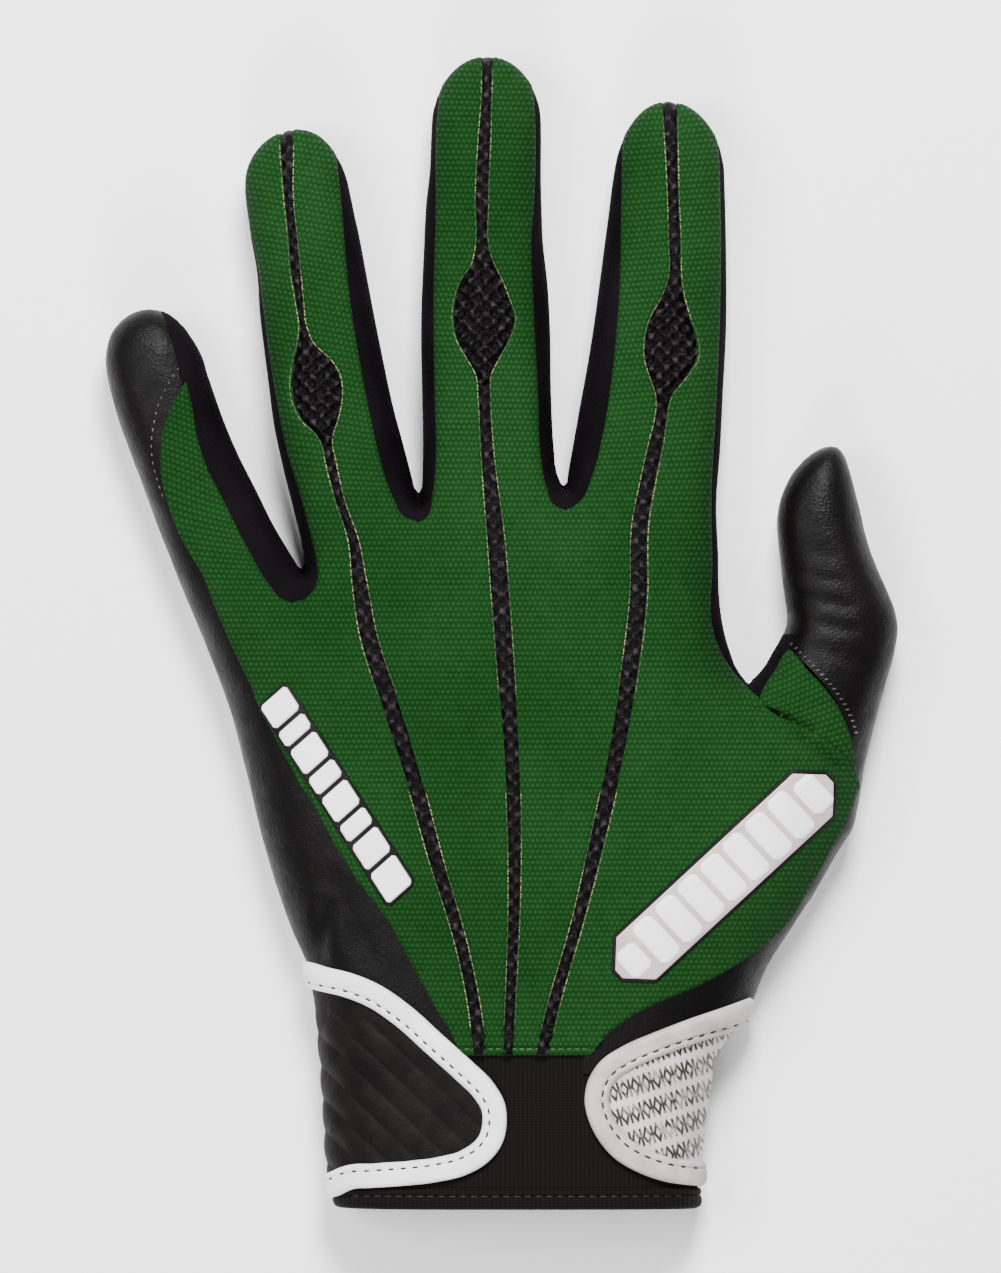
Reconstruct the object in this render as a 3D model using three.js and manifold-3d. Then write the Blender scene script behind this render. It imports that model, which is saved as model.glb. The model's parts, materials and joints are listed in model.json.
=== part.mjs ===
// Left-hand batting glove, lying palm down with its back up.
// Millimetres. +X goes from the little finger to the thumb, +Y to the fingertips, +Z up.
import * as THREE from 'three';
import { ParametricGeometry } from 'three/addons/geometries/ParametricGeometry.js';
import { mergeVertices } from 'three/addons/utils/BufferGeometryUtils.js';
import Module from 'manifold-3d';

const wasm = await Module();
wasm.setup();

// Main sizes of the glove.
const palm_length = 123;          // bottom hem to the foot of the fingers
const glove_width = 162;          // little finger to thumb, edge to edge
const little_reach = 60.4;        // foot to tip, measured along +Y
const little_width = 22.3;
const ring_reach = 96.8;
const ring_width = 24.7;
const middle_reach = 111.7;
const middle_width = 26.5;
const index_reach = 102.5;
const index_width = 29;
const thumb_reach = 94.1;
const thumb_width = 22.9;
const finger_tip_round = 13.3;    // length of the rounded fingertip
const thumb_tip_round = 25;

// Heights and rounding of the filled shape.
const seam_height = 9;            // the widest line, above the surface that the glove lies on
const split_height = 6;           // where the palm side meets the back and the gussets
const palm_rise = 17.5;           // back of the hand above the widest line
const finger_rise = 12;
const edge_roundness = 11.5;      // how far the rolled side edges reach in

// Walls, layers and clearances.
const wall = 1.4;
const cuff_wall = 1.2;
const gap = 0.3;
const strip_width = 3;
const ring_knuckle_width = 10.4;
const middle_knuckle_width = 12.4;
const index_knuckle_width = 10.6;
const knuckle_relief = 0.6;
const piping_relief = 0.8;
const rib_relief = 0.7;
const rib_width = 2.9;
const rib_pitch = 4.5;
const rib_count = 6;
const patch_relief = 1;
const back_hem_height = 2.5;
const back_hem_relief = 0.5;
const cuff_hem_height = 4.3;
const cuff_top = 0.36;            // the cuff's upper edge under the outer layer, a share of palm_length
const back_foot = 0.259;          // the lower edge of the knit back, a share of palm_length
const cuff_hem_recess = 0.4;

// Facets.
const digit_sides = 12;
const palm_sides = 20;
const hollow_digit_sides = 10;
const hollow_palm_sides = 16;
const cap_steps = 3;
const beyond = 20;                // how far a cutting outline runs past the glove
const mouth_overrun = 0.1;        // how far the hollow runs out of the wrist, a share of palm_length

// Sections of the palm: up is a share of palm_length, left and right of glove_width, rise of palm_rise.
const palm_sections = [
  { up: 0, left: 0.294, right: 0.752, rise: 0.9 },
  { up: 0.15, left: 0.275, right: 0.756, rise: 0.93 },
  { up: 0.3, left: 0.271, right: 0.793, rise: 0.96 },
  { up: 0.45, left: 0.238, right: 0.859, rise: 1 },
  { up: 0.58, left: 0.205, right: 0.92, rise: 1 },
  { up: 0.7, left: 0.18, right: 0.955, rise: 1 },
  { up: 0.75, left: 0.172, right: 0.925, rise: 1 },
  { up: 0.81, left: 0.16, right: 0.855, rise: 0.99 },
  { up: 0.89, left: 0.143, right: 0.798, rise: 0.94 },
  { up: 0.96, left: 0.158, right: 0.779, rise: 0.85 },
  { up: 1.02, left: 0.21, right: 0.774, rise: 0.74 },
  { up: 1.08, left: 0.27, right: 0.773, rise: 0.6 },
  { up: 1.165, left: 0.28, right: 0.767, rise: 0.4 },
];

const palm_end = palm_sections.at(-1).up;

// Sections of each finger: along is a share of its reach, middle of glove_width, width of its own width.
// foot is where it starts, a share of palm_length, and thins is where its rise falls to finger_rise.
const finger_thins = { from: -0.15, to: 0.35 };
const thumb_thins = { from: 0.1, to: 0.6 };
const digits = {
  little: {
    foot: 1, reach: little_reach, width: little_width, tip_round: finger_tip_round, thins: finger_thins,
    sections: [
      { along: -0.53, middle: 0.239, width: 0.84 },
      { along: -0.29, middle: 0.231, width: 1.03 },
      { along: 0, middle: 0.183, width: 1.14 },
      { along: 0.25, middle: 0.142, width: 1.09 },
      { along: 0.5, middle: 0.101, width: 1 },
      { along: 0.75, middle: 0.067, width: 0.93 },
      { along: 1, middle: 0.053, width: 0.9 },
    ],
  },
  ring: {
    foot: 1, reach: ring_reach, width: ring_width, tip_round: finger_tip_round, thins: finger_thins,
    sections: [
      { along: -0.25, middle: 0.368, width: 0.87 },
      { along: 0, middle: 0.338, width: 1.06 },
      { along: 0.25, middle: 0.312, width: 1.05 },
      { along: 0.5, middle: 0.279, width: 0.99 },
      { along: 0.75, middle: 0.255, width: 0.92 },
      { along: 1, middle: 0.241, width: 0.84 },
    ],
  },
  middle: {
    foot: 1, reach: middle_reach, width: middle_width, tip_round: finger_tip_round, thins: finger_thins,
    sections: [
      { along: -0.21, middle: 0.494, width: 1.08 },
      { along: 0, middle: 0.49, width: 1.14 },
      { along: 0.18, middle: 0.489, width: 1.11 },
      { along: 0.26, middle: 0.483, width: 1.03 },
      { along: 0.5, middle: 0.48, width: 1.01 },
      { along: 0.75, middle: 0.478, width: 0.9 },
      { along: 1, middle: 0.482, width: 0.86 },
    ],
  },
  index: {
    foot: 1, reach: index_reach, width: index_width, tip_round: finger_tip_round, thins: finger_thins,
    sections: [
      { along: -0.27, middle: 0.674, width: 1.13 },
      { along: 0, middle: 0.672, width: 1.15 },
      { along: 0.25, middle: 0.677, width: 1.08 },
      { along: 0.5, middle: 0.697, width: 0.97 },
      { along: 0.75, middle: 0.707, width: 0.86 },
      { along: 1, middle: 0.711, width: 0.8 },
    ],
  },
  thumb: {
    foot: 0.5, reach: thumb_reach, width: thumb_width, tip_round: thumb_tip_round, thins: thumb_thins,
    sections: [
      { along: 0, middle: 0.832, width: 0.7 },
      { along: 0.15, middle: 0.858, width: 1.16 },
      { along: 0.25, middle: 0.873, width: 1.12 },
      { along: 0.4, middle: 0.895, width: 1.12 },
      { along: 0.5, middle: 0.909, width: 1.14 },
      { along: 0.6, middle: 0.928, width: 1.03 },
      { along: 0.7, middle: 0.92, width: 0.95 },
      { along: 0.8, middle: 0.904, width: 0.83 },
      { along: 0.9, middle: 0.9, width: 0.85 },
      { along: 1, middle: 0.911, width: 0.83 },
    ],
  },
};

// Fold where the knit back meets the piece at the foot of the thumb.
const thumb_fold = {
  on: 'thumb', points: [[0.425, -0.7], [0.403, -0.4], [0.38, 0], [0.343, 0.44], [0.299, 0.79], [0.25, 1.05]],
};

// Edges of the knit back, once round it. Each point is [along, across] on the named part of the glove:
// along is a share of that part's length, across runs from -1 at its left edge to 1 at its right edge.
const back_edges = [
  { on: 'palm', points: [[0.24, -0.28], [0.33, -0.47], [0.43, -0.6], [0.54, -0.72], [0.67, -0.82],
    [0.8, -0.89], [0.92, -0.95]] },
  { on: 'little', points: [[0.19, -0.65], [0.37, -0.62], [0.52, -0.42], [0.66, 0.08], [0.77, 0.6]] },
  { on: 'little', points: [[0.59, 0.42], [0.35, 0.28], [0.13, 0.37], [0.01, 0.48]] },
  { on: 'palm', points: [[0.997, -0.8]] },
  { on: 'ring', points: [[0.055, -0.79], [0.18, -0.82], [0.28, -0.85], [0.43, -0.86], [0.58, -0.86],
    [0.7, -1.1], [0.82, -1.6], [1.1, -1.6]] },
  { on: 'ring', points: [[1.1, 1.5], [0.95, 1.5], [0.9, 0.9], [0.85, 0.76], [0.68, 0.68], [0.56, 0.63],
    [0.45, 0.6], [0.31, 0.56], [0.22, 0.6]] },
  { on: 'palm', points: [[1.129, -0.549]] },
  { on: 'middle', points: [[0.18, -0.74], [0.26, -0.76], [0.41, -0.79], [0.56, -0.82], [0.68, -0.88],
    [0.78, -1.1], [0.86, -1.5], [1.1, -1.5]] },
  { on: 'middle', points: [[1.1, 1.5], [0.9, 1.5], [0.82, 1.05], [0.72, 0.86], [0.56, 0.78], [0.37, 0.79],
    [0.2, 0.64]] },
  { on: 'palm', points: [[1.125, 0.21]] },
  { on: 'index', points: [[0.2, -0.72], [0.25, -0.68], [0.39, -0.62], [0.53, -0.63], [0.65, -0.7],
    [0.8, -0.8], [0.9, -1.1], [0.94, -1.6], [1.1, -1.6]] },
  { on: 'index', points: [[1.1, 1.5], [0.9, 1.5], [0.82, 1.06], [0.72, 0.84], [0.45, 0.82], [0.21, 0.83],
    [0.03, 0.83], [-0.08, 0.88]] },
  { on: 'palm', points: [[0.887, 0.985], [0.849, 0.99]] },
  thumb_fold,
  { on: 'palm', points: [[0.66, 1.3]] },
  { on: 'palm', points: [[0.46, 1.3], [0.45, 0.97], [0.41, 0.85], [0.37, 0.73], [0.33, 0.56], [0.24, 0.28]] },
];
const thumb_back_edges = [
  { on: 'thumb', points: [[0.438, -0.89], [0.473, -0.9], [0.512, -0.86], [0.545, -0.78], [0.516, -0.5],
    [0.484, -0.21], [0.44, 0.14], [0.386, 0.45], [0.323, 0.72], [0.27, 1.05]] },
  { ...thumb_fold, points: thumb_fold.points.slice().reverse() },
];

// Edge of the thumb's front, on the palm side.
const thumb_front_edges = [
  { on: 'thumb', points: [[0.47, -1.2], [0.4, -0.5], [0.34, 0.2], [0.29, 0.8], [0.26, 1.4], [1.3, 1.6],
    [1.3, -1.6], [0.6, -1.35], [0.53, -1.3]] },
];

// Edges of the strap's panel and of its piping on the little finger's side, and of the tab on the other.
const strap_outer = { on: 'palm', points: [[0.407, -1.4], [0.407, -0.99], [0.394, -0.85], [0.374, -0.73],
  [0.339, -0.61], [0.295, -0.47], [0.257, -0.31], [0.212, -0.16], [0.179, -0.09], [0.146, -0.05],
  [0.113, -0.06], [0.088, -0.1], [0.066, -0.19], [0.05, -0.31], [0.041, -0.42], [0.04, -0.75], [0.04, -1.4]] };
const strap_inner = { on: 'palm', points: [[0.369, -1.4], [0.366, -0.99], [0.354, -0.86], [0.325, -0.73],
  [0.286, -0.59], [0.242, -0.43], [0.207, -0.29], [0.179, -0.21], [0.154, -0.18], [0.121, -0.18],
  [0.096, -0.24], [0.084, -0.32], [0.076, -0.46], [0.07, -0.73], [0.07, -1.4]] };
const tab_outer = { on: 'palm', points: [[0.339, 1.4], [0.339, 1.02], [0.328, 0.98], [0.311, 0.82],
  [0.286, 0.66], [0.262, 0.51], [0.242, 0.43], [0.215, 0.38], [0.187, 0.37], [0.154, 0.39], [0.121, 0.44],
  [0.093, 0.5], [0.068, 0.59], [0.051, 0.72], [0.041, 0.88], [0.041, 1.4]] };
const tab_inner = { on: 'palm', points: [[0.306, 1.4], [0.303, 1], [0.291, 0.95], [0.275, 0.82],
  [0.257, 0.67], [0.237, 0.54], [0.212, 0.47], [0.187, 0.45], [0.162, 0.47], [0.132, 0.52], [0.099, 0.59],
  [0.083, 0.7], [0.07, 0.89], [0.07, 1.4]] };

// Each mesh strip from beyond its fingertip to the hem. The knuckle patch lies between its two runs.
const strips = {
  ring: {
    finger: { on: 'ring', points: [[1.1, -0.1], [0.85, -0.24], [0.75, -0.2], [0.64, -0.23], [0.55, -0.26]] },
    knuckle: { on: 'ring', from: [0.565, -0.26], to: [0.33, -0.26], width: ring_knuckle_width },
    foot: { on: 'ring', points: [[0.31, -0.29], [0.2, -0.26], [0.12, -0.14]] },
    back: { on: 'palm', points: [[0.97, -0.46], [0.92, -0.39], [0.78, -0.44], [0.61, -0.43], [0.48, -0.35],
      [0.34, -0.28], [0.24, -0.2]] },
  },
  middle: {
    finger: { on: 'middle', points: [[1.1, 0], [0.87, 0], [0.74, -0.03], [0.63, -0.05]] },
    knuckle: { on: 'middle', from: [0.635, -0.05], to: [0.405, -0.03], width: middle_knuckle_width },
    foot: { on: 'middle', points: [[0.38, -0.03], [0.17, 0], [0.01, 0.06]] },
    back: { on: 'palm', points: [[0.84, 0.06], [0.68, -0.14], [0.58, -0.13], [0.48, -0.12], [0.24, -0.07]] },
  },
  index: {
    finger: { on: 'index', points: [[1.1, 0], [0.8, 0.08], [0.7, 0.14], [0.62, 0.19]] },
    knuckle: { on: 'index', from: [0.63, 0.19], to: [0.4, 0.16], width: index_knuckle_width },
    foot: { on: 'index', points: [[0.37, 0.14], [0.28, 0.1], [0.12, 0.01], [0.03, 0]] },
    back: { on: 'palm', points: [[0.94, 0.63], [0.78, 0.33], [0.61, 0.17], [0.44, 0.16], [0.31, 0.11],
      [0.24, 0.09]] },
  },
};

// Two rubber patches on the back: ends on the palm, width and cut-off corners in millimetres.
const side_patch = { from: [0.849, -0.88], to: [0.526, -0.54], width: 7.6, corner: 1.5 };
const thumb_patch = { from: [0.385, 0.36], to: [0.715, 0.91], width: 13, corner: 5 };

// Lines that part the gussets and leathers from each other, as [along, across] on a named part.
const cap_line = [
  { on: 'little', points: [[1.4, 0.3], [1, 0.3], [0.9, 0.45], [0.79, 0.66], [0.6, 0], [0.3, -0.2]] },
];
const outer_line = [{ on: 'palm', points: [[0.9, -0.8], [0.5, -0.4], [0.28, 0], [-0.1, 0]] }];
const thumb_line = [
  { on: 'thumb', points: [[1.3, -1.6], [0.66, -1.3], [0.584, -0.98], [0.54, -0.7], [0.45, 0]] },
];

// The value of a column at a place between the rows, smooth through every row.
function column_at(rows, key, column, place) {
  const last = rows.length - 1;
  let low = rows.findIndex((row) => row[key] > place) - 1;
  if (low < 0) low = place <= rows[0][key] ? 0 : last - 1;
  const slope = (i) => {
    const before = rows[Math.max(i - 1, 0)];
    const after = rows[Math.min(i + 1, last)];
    return (after[column] - before[column]) / (after[key] - before[key]);
  };
  const a = rows[low];
  const b = rows[low + 1];
  const step = b[key] - a[key];
  const t = (place - a[key]) / step;
  if (t < 0) return a[column] + slope(low) * step * t;
  if (t > 1) return b[column] + slope(low + 1) * step * (t - 1);
  const rise = t * t * (3 - 2 * t);
  const bend = slope(low) * t * (1 - t) ** 2 + slope(low + 1) * t * t * (t - 1);
  return a[column] + (b[column] - a[column]) * rise + bend * step;
}

// The plan of a named part at a share along it: its middle and half width, and its place along +Y.
function plan_at(on, along) {
  if (on === 'palm') {
    const left = column_at(palm_sections, 'up', 'left', along) * glove_width;
    const right = column_at(palm_sections, 'up', 'right', along) * glove_width;
    return { y: along * palm_length, middle: (left + right) / 2, half: (right - left) / 2 };
  }
  const digit = digits[on];
  return {
    y: digit.foot * palm_length + along * digit.reach,
    middle: column_at(digit.sections, 'along', 'middle', along) * glove_width,
    half: column_at(digit.sections, 'along', 'width', along) * digit.width / 2,
  };
}

// A point of the plan from its shares on a named part.
function place(on, [along, across]) {
  const plan = plan_at(on, along);
  return new THREE.Vector2(plan.middle + across * plan.half, plan.y);
}
const places = (run) => run.points.map((point) => place(run.on, point));
const outline_of = (runs) => runs.flatMap(places);

// Stations of a finger: even to the start of its rounded tip, then closing on the tip as an ellipse does.
function digit_stations(on, inset) {
  const digit = digits[on];
  const tip_start = 1 - digit.tip_round / digit.reach;
  const rows = digit.sections.map((row) => row.along).filter((along) => along < tip_start - 0.02);
  const stations = rows.map((along) => ({ along, share: 1 }));
  for (let step = 0; step <= cap_steps; step += 1) {
    const turn = (step / cap_steps) * Math.PI / 2;
    const reach = (digit.tip_round - inset) / digit.reach;
    stations.push({ along: tip_start + reach * Math.sin(turn), share: Math.cos(turn) });
  }
  return stations.map(({ along, share }) => {
    const plan = plan_at(on, along);
    const blend = THREE.MathUtils.smoothstep(along, digit.thins.from, digit.thins.to);
    return { ...plan, share, rise: THREE.MathUtils.lerp(palm_rise, finger_rise, blend) };
  });
}

function palm_stations(start, end) {
  const ups = palm_sections.map((row) => row.up).filter((up) => up > start && up < end);
  return [start, ...ups, end].map((up) => {
    const rise = palm_rise * column_at(palm_sections, 'up', 'rise', up);
    return { ...plan_at('palm', up), share: 1, rise };
  });
}

// How sharply the back and the palm side level off.
const back_power = 4;
const palm_power = 8;

// A height that grows with the reach and levels off softly at the limit.
const levelled = (reach, limit, power) => reach / (1 + (reach / limit) ** power) ** (1 / power);

// One point of a cross-section. The side edge is rolled, and the back and the palm level off inwards.
function section_point(station, turn, inset, target) {
  const up = Math.sin(turn) >= 0;
  const limit = up ? station.rise : seam_height;
  const power = up ? back_power : palm_power;
  const reach = Math.sqrt(edge_roundness * station.half);
  const full = levelled(reach, limit, power);
  const bulge = levelled(reach * Math.sqrt(station.share) * Math.abs(Math.sin(turn)), limit, power);
  const height = bulge * (full - inset) / full;
  target.set(
    station.middle + (station.half - inset) * station.share * Math.cos(turn),
    station.y,
    seam_height + (up ? height : -height),
  );
}

// A closed body through the stations, its first and last rings drawn together to a point.
function loft(stations, sides, inset) {
  const rings = stations.length + 2;
  const surface = (u, v, target) => {
    const ring = Math.round(v * (rings - 1));
    const station = stations[Math.min(Math.max(ring - 1, 0), stations.length - 1)];
    if (ring === 0 || ring === rings - 1) {
      target.set(station.middle, station.y, seam_height);
    } else {
      section_point(station, -u * 2 * Math.PI, inset, target);
    }
  };
  return solid_of(new ParametricGeometry(surface, sides, rings - 1));
}

// A three.js geometry as a solid that can be joined and cut.
function solid_of(geometry) {
  const bare = geometry.clone();
  bare.deleteAttribute('normal');
  bare.deleteAttribute('uv');
  const merged = mergeVertices(bare, 1e-4);
  const corners = Array.from(merged.index.array);
  const kept = [];
  for (let i = 0; i < corners.length; i += 3) {
    const [a, b, c] = corners.slice(i, i + 3);
    if (a !== b && b !== c && c !== a) kept.push(a, b, c);
  }
  return new wasm.Manifold(new wasm.Mesh({
    numProp: 3,
    vertProperties: Float32Array.from(merged.attributes.position.array),
    triVerts: Uint32Array.from(kept),
  }));
}

const join = (solids) => solids.reduce((sum, solid) => sum.add(solid));

// The whole filled glove, every surface drawn in by the inset. With a mouth it runs out past the wrist.
function glove_form(inset, mouth) {
  const start = mouth ? -mouth_overrun : 0;
  const end = palm_end - inset / palm_length;
  const parts = [loft(palm_stations(start, end), mouth ? hollow_palm_sides : palm_sides, inset)];
  for (const on of Object.keys(digits)) {
    parts.push(loft(digit_stations(on, inset), mouth ? hollow_digit_sides : digit_sides, inset));
  }
  return join(parts);
}

const ceiling = seam_height + palm_rise + beyond;

// An upright prism on a plan outline.
function prism(points, low = -beyond, high = ceiling) {
  const shape = new THREE.Shape(points);
  const geometry = new THREE.ExtrudeGeometry(shape, { depth: high - low, bevelEnabled: false, steps: 1 });
  return solid_of(geometry.translate(0, 0, low));
}

// An outline moved outwards by an amount, or inwards by a negative one.
function grown(points, amount) {
  const sign = THREE.ShapeUtils.area(points) > 0 ? 1 : -1;
  return points.map((point, i) => {
    const before = points[(i + points.length - 1) % points.length];
    const after = points[(i + 1) % points.length];
    const into = point.clone().sub(before).normalize();
    const out = after.clone().sub(point).normalize();
    const along = into.clone().add(out).normalize();
    const stretch = Math.min(1 / Math.max(along.dot(into), 0.5), 2);
    const side = new THREE.Vector2(along.y, -along.x).multiplyScalar(sign * amount * stretch);
    return point.clone().add(side);
  });
}

// The outline of a ribbon of one width along a path.
function ribbon(path, width) {
  const side = (sign) => path.map((point, i) => {
    const before = path[Math.max(i - 1, 0)];
    const after = path[Math.min(i + 1, path.length - 1)];
    const along = after.clone().sub(before).normalize();
    return point.clone().add(new THREE.Vector2(-along.y, along.x).multiplyScalar(sign * width / 2));
  });
  return [...side(1), ...side(-1).reverse()];
}

// A lozenge with rounded flanks between two points.
function lozenge(from, to, width, ends) {
  const steps = 4;
  const flank_power = 0.8;
  const path = [];
  const halves = [];
  for (let i = 0; i <= steps; i += 1) {
    const t = i / steps;
    path.push(from.clone().lerp(to, t));
    halves.push((ends + (width - ends) * Math.sin(Math.PI * t) ** flank_power) / 2);
  }
  const along = to.clone().sub(from).normalize();
  const normal = new THREE.Vector2(-along.y, along.x);
  const side = (sign) => path.map((point, i) => point.clone().addScaledVector(normal, sign * halves[i]));
  return [...side(1), ...side(-1).reverse()];
}

// The filled glove, its hollow and its raised layers.
const form = glove_form(0, false);
const hollow = glove_form(wall, true);
const shell = form.subtract(hollow);
const piping_layer = glove_form(-piping_relief, false).subtract(hollow);
const knuckle_layer = glove_form(-knuckle_relief, false).subtract(hollow);
const hem_layer = glove_form(-back_hem_relief, false).subtract(hollow);
const patch_layer = glove_form(-gap - patch_relief, false).subtract(glove_form(-gap, false));

// A level band of the plan between two heights along +Y.
function band(low, high) {
  return [
    new THREE.Vector2(-beyond, low),
    new THREE.Vector2(glove_width + beyond, low),
    new THREE.Vector2(glove_width + beyond, high),
    new THREE.Vector2(-beyond, high),
  ];
}

const far_top = palm_length + middle_reach + beyond;
const everywhere = band(-beyond, far_top);
const above_split = prism(everywhere, split_height + gap / 2, ceiling);
const below_split = prism(everywhere, -beyond, split_height - gap / 2);
const upper = shell.intersect(above_split);

const hem_top = cuff_hem_height;
const back_low = back_foot * palm_length;
const back_end = back_low + back_hem_height;
const above_cuff_hem = prism(band(hem_top + gap, far_top));
const above_back_hem = prism(band(back_end + gap, far_top));

const back_outline = outline_of(back_edges);
const back_in = prism(grown(back_outline, -gap / 2));
const back_out = prism(grown(back_outline, gap / 2));
const thumb_back_outline = outline_of(thumb_back_edges);
const thumb_back_out = prism(grown(thumb_back_outline, gap / 2));

// Each strip's whole path, its two runs and its knuckle patch.
function strip_parts(strip) {
  const finger = places(strip.finger);
  const back = [...places(strip.foot), ...places(strip.back)];
  const from = place(strip.knuckle.on, strip.knuckle.from);
  const to = place(strip.knuckle.on, strip.knuckle.to);
  return {
    path: [...finger, ...back],
    finger: prism(ribbon(finger, strip_width)),
    back: prism(ribbon(back, strip_width)),
    cut: prism(ribbon([...finger, ...back], strip_width + 2 * gap)),
    knuckle: prism(lozenge(from, to, strip.knuckle.width, strip_width)),
    knuckle_cut: prism(grown(lozenge(from, to, strip.knuckle.width, strip_width), gap)),
  };
}
const strip_solids = {};
for (const [on, strip] of Object.entries(strips)) strip_solids[on] = strip_parts(strip);

// The plan between two paths that both run from the fingertips to the wrist.
const between = (left, right) => prism([...left, ...right.slice().reverse()]);
const heel_line = palm_length / 2;      // between the thumb's leather and the heel's
const upright = (x) => [new THREE.Vector2(x, far_top), new THREE.Vector2(x, -beyond)];
const centre_path = (on) => [
  new THREE.Vector2(place(on, [1, 0]).x, far_top),
  ...[1, 0.6, 0.2].map((along) => place(on, [along, 0])),
  place('palm', [0.8, (place(on, [0, 0]).x - plan_at('palm', 0.8).middle) / plan_at('palm', 0.8).half]),
];

const cap_path = outline_of(cap_line);
const outer_path = [...cap_path, ...outline_of(outer_line)];
const thumb_path = outline_of(thumb_line);
const strap_out = prism(grown(places(strap_outer), gap));
const tab_out = prism(grown(places(tab_outer), gap));
const trim = join([back_out, thumb_back_out, strap_out, tab_out]);
const dark = upper.intersect(prism(band(back_low, far_top))).subtract(trim);

// Materials, one for each kind of stuff.
const finish = (color, roughness) => new THREE.MeshStandardMaterial({ color, roughness, metalness: 0 });
const knit = finish(0x1f5a26, 0.85);
const mesh_knit = finish(0x2a2126, 0.9);
const leather = finish(0x141416, 0.45);
const gusset_knit = finish(0x17171a, 0.85);
const elastic = finish(0x1a1a1c, 0.9);
const rubber_white = finish(0xe6e4e2, 0.5);
const piping_white = finish(0xdedfe2, 0.55);
const tab_grey = finish(0xc9cacf, 0.6);

const glove = new THREE.Group();

function add(name, solid, material) {
  const { vertProperties, triVerts } = solid.getMesh();
  const geometry = new THREE.BufferGeometry();
  geometry.setAttribute('position', new THREE.BufferAttribute(vertProperties, 3));
  geometry.setIndex(new THREE.BufferAttribute(triVerts, 1));
  const mesh = new THREE.Mesh(geometry, material);
  mesh.name = name;
  glove.add(mesh);
}

// Palm side of the hand, the fingers and the thumb.
const palm_side = shell.intersect(below_split).intersect(above_cuff_hem);
const thumb_front_outline = outline_of(thumb_front_edges);
add('palm_leather', palm_side.subtract(prism(grown(thumb_front_outline, gap / 2))), leather);
add('thumb_front', palm_side.intersect(prism(grown(thumb_front_outline, -gap / 2))), leather);

// Knit back in four panels between the strips, and the piece at the foot of the thumb.
const ring_path = strip_solids.ring.path;
const middle_path = strip_solids.middle.path;
const index_path = strip_solids.index.path;
const lanes = {
  back_panel_little: [upright(-beyond), ring_path],
  back_panel_ring: [ring_path, middle_path],
  back_panel_middle: [middle_path, index_path],
  back_panel_index: [index_path, upright(glove_width + beyond)],
};
const strip_cuts = join(Object.values(strip_solids).flatMap((part) => [part.cut, part.knuckle_cut]));
const back = upper.intersect(back_in).intersect(above_back_hem).subtract(strip_cuts).subtract(thumb_back_out);
for (const [name, [left, right]] of Object.entries(lanes)) {
  add(name, back.intersect(between(left, right)), knit);
}
add('thumb_back', upper.intersect(prism(grown(thumb_back_outline, -gap / 2))), knit);

// Mesh strips and knuckle patches.
for (const [on, part] of Object.entries(strip_solids)) {
  add(`finger_strip_${on}`, upper.intersect(part.finger).subtract(part.knuckle_cut), mesh_knit);
  const run = upper.intersect(part.back).intersect(above_back_hem).subtract(part.knuckle_cut);
  add(`back_strip_${on}`, run, mesh_knit);
  add(`knuckle_mesh_${on}`, knuckle_layer.intersect(above_split).intersect(part.knuckle), mesh_knit);
}

// Gussets between the fingers and the dark leathers round the back.
const gussets = {
  gusset_little_ring: [cap_path, centre_path('ring')],
  gusset_ring_middle: [centre_path('ring'), centre_path('middle')],
  gusset_middle_index: [centre_path('middle'), centre_path('index')],
  gusset_index_thumb: [centre_path('index'), thumb_path],
};
for (const [name, [left, right]] of Object.entries(gussets)) {
  add(name, dark.intersect(between(left, right)), gusset_knit);
}
add('outer_leather', dark.intersect(between(upright(-beyond), outer_path)), leather);
const right_end = upright(glove_width + beyond);
const thumb_lane = [...thumb_path, place('palm', [0.6, 0.8]), new THREE.Vector2(right_end[1].x, heel_line)];
add('thumb_leather', dark.intersect(between(thumb_lane, [right_end[0], thumb_lane.at(-1)])), leather);
const heel_lane = prism([
  new THREE.Vector2(glove_width / 2, -beyond),
  new THREE.Vector2(right_end[1].x, -beyond),
  new THREE.Vector2(right_end[1].x, heel_line),
  new THREE.Vector2(glove_width / 2, heel_line),
]);
add('heel_leather', dark.intersect(heel_lane), leather);

// Hem of the knit back, raised where the cloth is folded over.
const hem_span = back_in.intersect(prism(band(back_low, back_end))).subtract(strap_out).subtract(tab_out);
add('back_hem', hem_layer.intersect(above_split).intersect(hem_span), knit);

// Elastic cuff inside the outer layer, and the hem that closes it.
function palm_tube(outer_inset, inner_inset, start, end) {
  const outer = loft(palm_stations(start, end), hollow_palm_sides, outer_inset);
  const mouth = palm_stations(start - mouth_overrun, end + mouth_overrun);
  return outer.subtract(loft(mouth, hollow_palm_sides, inner_inset));
}
const cuff_inset = wall + gap;
const cuff_start = (hem_top + gap) / palm_length;
add('cuff_elastic', palm_tube(cuff_inset, cuff_inset + cuff_wall, cuff_start, cuff_top), elastic);
add('cuff_hem', palm_tube(cuff_hem_recess, cuff_inset + cuff_wall, 0, hem_top / palm_length), elastic);

// Strap with its raised ribs, and the tab, each with piping sewn over its edge.
const strap_edge = places(strap_inner);
const strap_panel = prism(grown(strap_edge, -gap));
const rib_path = [1, 4, 7].map((corner) => strap_edge[corner]);
const rib_slant = 0.5;
const shifted = (path, drop) => (
  path.map((point) => new THREE.Vector2(point.x - drop * rib_slant, point.y - drop))
);
const ribs = [];
for (let rib = 1; rib <= rib_count; rib += 1) {
  ribs.push(prism(ribbon(shifted(rib_path, rib * rib_pitch), rib_width)));
}
const rib_layer = glove_form(-rib_relief, false).subtract(hollow).intersect(above_split);
const strap_flat = upper.intersect(strap_panel);
add('strap_panel', strap_flat.add(rib_layer.intersect(strap_panel).intersect(join(ribs))), leather);
const upper_piping = piping_layer.intersect(above_split);
const strap_rim = prism(places(strap_outer)).subtract(prism(strap_edge));
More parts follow.
